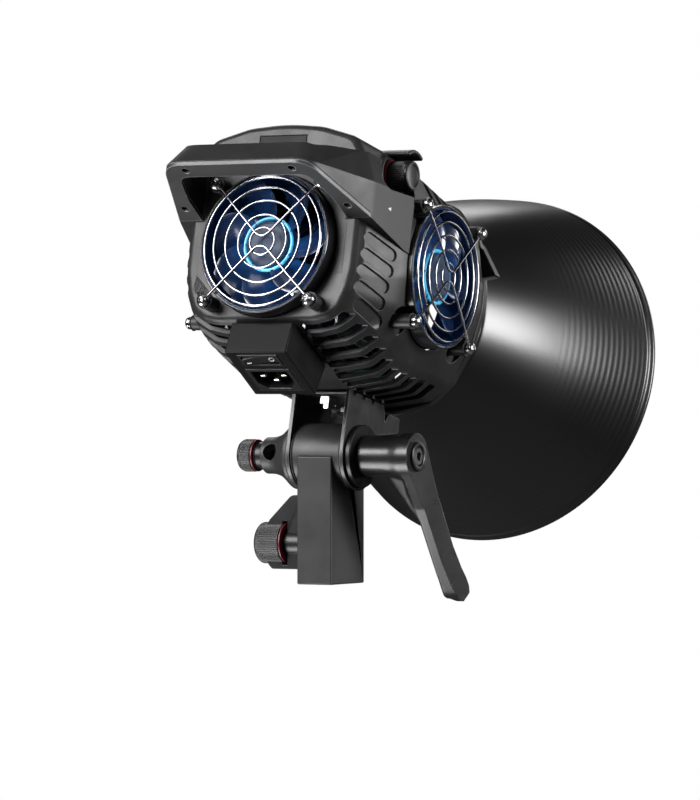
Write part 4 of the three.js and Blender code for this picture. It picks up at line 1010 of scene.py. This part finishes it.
piece("adapter_casting", adapter_body(), ADAPTER, "adapter", CAST, ["stand_adapter"])
piece("tilt_bolt", rod(5, -37, 33, 48, edge=0.6), ADAPTER @ LEFT, "adapter", SCREW,
      ["pivot_bolt"])
piece("friction_washer", collar(5.4, 19, 20.0, 23.5, 96, edge=0.5), ADAPTER @ RIGHT, "adapter", MOULDED,
      ["lever_washer"])


def stand_knob():
    wing = [(16, 29.2), (24.2, 29.6), (41, 13), (41, 0), (41, -12.6), (38, -15.8), (16, -15.8), (16, -6),
            (27.2, -6), (27.2, -13.4), (30.6, -13.4), (30.6, 13.4), (27.2, 13.4), (27.2, 6), (16, 6)]
    radii = [1, 6, 6, 1, 2, 2, 1] + [0.3] * 8
    fin = soften(prism(rounded([(z, x) for x, z in wing], radii, 4), -5.5, 5.5), 1.2, 3, 40).at(LEFT)
    cap = lathe([(0, 44), (12.3, 44), (12.3, 46.6), (11.4, 47.5), (10.2, 47.7), (0, 47.7)], 72)
    stem = rod(4, 8.7, 20, 32, edge=0.5) + rod(8.6, 14, 31, 64, edge=0.6)
    return stem + fluted(12.7, 30.5, 46.4, 56) + cap + fin


piece("stand_knob_grip", stand_knob(), AT_STAND_KNOB, "stand_knob_body", MOULDED,
      ["stand_knob"])
piece("stand_knob_band", collar(9, 12.5, 28.9, 30.2, 96, edge=0.3), AT_STAND_KNOB, "stand_knob_body", RED,
      ["stand_knob_ring"])

LEVER_LEAN, LEVER_FACE, LEVER_LENGTH = 33.5, 60.0, 95.0


def lever():
    """The boss flows into a flat blade whose end kicks outwards."""
    boss = lathe([(0, 23.9), (12.2, 23.9), (12.8, 24.6), (12.8, 41), (13.0, 46), (14, 52),
                  (14, LEVER_FACE - 1),
                  (13, LEVER_FACE), (0, LEVER_FACE)], 72)
    outline = arc(0, 0, 14, 0, 180, 20) + [(-9.6, -32)] + arc(0, -LEVER_LENGTH, 8.6, 180, 360,
                                                              16) + [(9.6, -32)]
    slab = prism(outline, LEVER_FACE - 7.5, LEVER_FACE + 3)
    kick = hull([(8.7 * s, -73, z) for s in (1, -1) for z in (LEVER_FACE - 7.4, LEVER_FACE + 3)]
                + [(7.8 * s, -100, z) for s in (1, -1) for z in (LEVER_FACE - 4, LEVER_FACE + 7)]
                + [(5 * s, -104, z) for s in (1, -1) for z in (LEVER_FACE - 2, LEVER_FACE + 7)])
    outside = prism([(LEVER_FACE - 0.5, 40), (LEVER_FACE - 0.5, -72), (LEVER_FACE + 0.8, -88),
                     (LEVER_FACE + 4, -107),
                     (LEVER_FACE + 4, -140), (LEVER_FACE + 30, -140), (LEVER_FACE + 30, 40)], -40, 40)
    outside = outside.at(Matrix(((0, 0, 1, 0), (0, 1, 0, 0), (1, 0, 0, 0), (0, 0, 0, 1))))
    web = hull([(11 * s, 4, 38) for s in (1, -1)] + [(7 * s, -11, 38) for s in (1, -1)]
               + [(8.4 * s, -46, LEVER_FACE - 6.5) for s in (1, -1)]
               + [(11.5 * s, 6, LEVER_FACE - 6.5) for s in (1, -1)])
    crown = rod(14, LEVER_FACE - 5, LEVER_FACE + 3, 72)
    body = shaped(boss, ("+", crown), ("+", slab), ("+", kick), ("+", web), voxel=0.8, smooth=10)
    body = shaped(body, ("-", outside))
    lip = lathe([(5.9, LEVER_FACE - 2), (9, LEVER_FACE - 2), (9, LEVER_FACE + 0.9), (8.5, LEVER_FACE + 1.4),
                 (6.5, LEVER_FACE + 1.4), (5.9, LEVER_FACE + 0.9)], 72, closed=True)
    return shaped(body, ("+", lip), ("-", rod(BOLT_BORE, 20, 37.5, 48)), ("-", rod(2.85, 37, LEVER_FACE, 32)),
                  ("-", rod(5.9, LEVER_FACE - 4, LEVER_FACE + 6, 64)))


def hex_screw():
    head = lathe([(0, 38), (2.5, 38), (2.5, LEVER_FACE - 3.6), (5.5, LEVER_FACE - 3.6),
                  (5.5, LEVER_FACE + 0.3),
                  (5.0, LEVER_FACE + 0.8), (0, LEVER_FACE + 0.8)], 64)
    return shaped(head, ("-", rod(2.9, LEVER_FACE - 2, LEVER_FACE + 2, 6)))


AT_LEVER = ADAPTER @ turn(-LEVER_LEAN, "X") @ RIGHT
piece("lock_lever", lever(), AT_LEVER, "lever", LEVER, ["tilt_lever"], crease=50)
piece("lock_lever_screw", hex_screw(), AT_LEVER, "lever", DARK_STEEL, ["lever_screw"])


BRACKET_SCREWS = (10, -16)


def bracket():
    """Folded sheet: two ears joined by the web under the housing."""
    corners = [(20, 36.6), (-25, 36.6), (-28, 26.5), (-32, 32.8), (-46, 32.8), (-46, 24)]
    outline = corners + arc(0, 0, 21, 132, 360, 60)
    ear = prism(outline, 17.4, 19.6).at(LEFT)
    fold = soften(box(-19.6, 19.6, -25, 20, 34.4, 36.6), 1.0, 3)
    body = shaped(ear, ("+", ear.at(Matrix.Scale(-1, 4, (1, 0, 0)))), ("+", fold))
    holes = [("-", rod(SCREW_BORE, 30, 40, 32).move(0, y)) for y in BRACKET_SCREWS]
    return shaped(body, ("-", rod(BOLT_BORE, -21, 21, 48).at(LEFT)), *holes)


on_head("folded_bracket", bracket(), SHEET, "sheet_black", "u_bracket")
bolt = lathe([(0, 27), (3, 27), (3, 29.5), (5.2, 29.5), (5.5, 29.9), (5.5, 34.05), (3, 34.05), (3, 39),
              (0, 39)], 6)
for i, y in enumerate(BRACKET_SCREWS, 1):
    on_head(f"bracket_bolt_{i}", bolt.move(0, y), SCREW, "steel_screw", f"bracket_screw_{i}")


def umbrella_holder():
    body = lathe([(0, 19.95), (20.0, 19.95), (20.5, 20.4), (20.5, 22.4), (20.0, 23.2), (18.2, 25.2),
                  (15.8, 28),
                  (13.6, 31), (12.2, 34.2), (11.4, 37.5), (11.2, 40.5), (11.2, 43.2), (10.6, 43.8),
                  (0, 43.8)], 96)
    hole = rod(5.2, -30, 30, 64).at(Matrix.Rotation(math.pi / 2, 4, "Y")).move(0, 0, 36)
    return shaped(body, ("-", hole), ("-", rod(BOLT_BORE, 18, 33.4, 48)), ("-", rod(SCREW_BORE, 36, 45, 32)))


piece("umbrella_clamp", umbrella_holder(), HEAD @ LEFT, "head", CAST, ["umbrella_holder"])
knob = (rod(3, 41.6, 46, 24) + rod(9, 44.2, 49.4, 64, edge=0.6) + rod(6.8, 49, 53, 48) + fluted(10, 51.8,
                                                                                                59.6, 44)
        + lathe([(0, 58), (9.5, 58), (9.5, 60.2), (8.9, 61), (7.8, 61.2), (0, 61.2)], 64))
piece("umbrella_knob_grip", knob, HEAD @ LEFT, "umbrella_knob_body", MOULDED,
      ["umbrella_knob"])
piece("umbrella_knob_band", collar(7.2, 9.85, 50.2, 51.5, 72, edge=0.25), HEAD @ LEFT, "umbrella_knob_body",
      RED,
      ["umbrella_knob_ring"])

# ---- studio ---------------------------------------------------------------------------------
def studio():
    world = bpy.data.worlds.new("studio")
    bpy.context.scene.world = world
    world.use_nodes = True
    tree = world.node_tree
    tree.nodes.clear()
    out = tree.nodes.new("ShaderNodeOutputWorld")
    seen = tree.nodes.new("ShaderNodeBackground")
    seen.inputs["Color"].default_value = (1, 1, 1, 1)
    seen.inputs["Strength"].default_value = 1.0
    soft = tree.nodes.new("ShaderNodeBackground")
    soft.inputs["Color"].default_value = (0.96, 0.98, 1, 1)
    soft.inputs["Strength"].default_value = 0.015
    path = tree.nodes.new("ShaderNodeLightPath")
    mix = tree.nodes.new("ShaderNodeMixShader")
    tree.links.new(path.outputs["Is Camera Ray"], mix.inputs[0])
    tree.links.new(soft.outputs[0], mix.inputs[1])
    tree.links.new(seen.outputs[0], mix.inputs[2])
    tree.links.new(mix.outputs[0], out.inputs["Surface"])


def softbox(name, place, width, height, power):
    """A rectangular light that faces the middle of the object."""
    data = bpy.data.lights.new(name, "AREA")
    data.shape, data.size, data.size_y = "RECTANGLE", width, height
    data.energy = power
    ob = bpy.data.objects.new(name, data)
    ob.location = place
    ob.rotation_euler = (MIDDLE - place).to_track_quat("-Z", "Y").to_euler()
    bpy.context.scene.collection.objects.link(ob)
    ob.visible_camera = False


MIDDLE = Vector((0, 0, 0.12))
STAND_HEIGHT = 1.0


def floor():
    """A pale plane under the adapter. It looks white to the camera and sends back little light."""
    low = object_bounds()[0][2] - STAND_HEIGHT
    corners = [(-30, -30, low), (30, -30, low), (30, 30, low), (-30, 30, low)]
    data = Form(corners, [(0, 1, 2, 3)]).mesh("studio_floor")
    n = Nodes("pale_floor")
    pale = n.add("Emission", {"Color": (1, 1, 1, 1), "Strength": 1.0}).outputs[0]
    dull = n.add("BsdfDiffuse", {"Color": (0.12, 0.12, 0.12, 1)}).outputs[0]
    path = n.add("LightPath").outputs["Is Camera Ray"]
    n.add("OutputMaterial", {"Surface": n.add("MixShader", {0: path, 1: dull, 2: pale}).outputs[0]})
    data.materials.append(n.material)
    ob = bpy.data.objects.new("studio_floor", data)
    bpy.context.scene.collection.objects.link(ob)
    ob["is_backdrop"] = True


def camera():
    data = bpy.data.cameras.new("camera")
    data.lens, data.sensor_width = 210.1, 36
    data.clip_start, data.clip_end = 0.1, 100
    ob = bpy.data.objects.new("camera", data)
    ob.location = (-1.3764, 2.4849, 0.0667)
    ob.rotation_euler = (math.radians(90), 0, math.radians(208.745))
    bpy.context.scene.collection.objects.link(ob)
    bpy.context.scene.camera = ob
    return ob


studio()
floor()
turned = camera().matrix_basis.to_3x3()
right, toward = turned @ Vector((1, 0, 0)), turned @ Vector((0, 0, -1))


def from_camera(across_, forward, up):
    """A place relative to the object, as the camera sees it."""
    return MIDDLE + right * across_ + toward * forward + Vector((0, 0, up))


softbox("key", from_camera(-1.3, -0.9, 0.8), 0.9, 1.1, 62)
softbox("side", from_camera(1.45, -0.3, 0.16), 0.45, 0.6, 27)
softbox("top", from_camera(-0.2, -0.3, 1.5), 0.9, 0.6, 2)
softbox("back_edge", from_camera(1.2, 1.3, 0.3), 0.4, 0.9, 6)
softbox("low", from_camera(-0.75, -0.2, -0.9), 0.6, 0.5, 14)
softbox("behind_camera", from_camera(0.5, -2.2, 0.9), 0.8, 0.8, 6)
softbox("over_bowl", from_camera(-0.1, 1.4, 0.95), 1.0, 0.35, 5)
scene = bpy.context.scene
scene.view_settings.view_transform = "Standard"
scene.view_settings.look = "None"
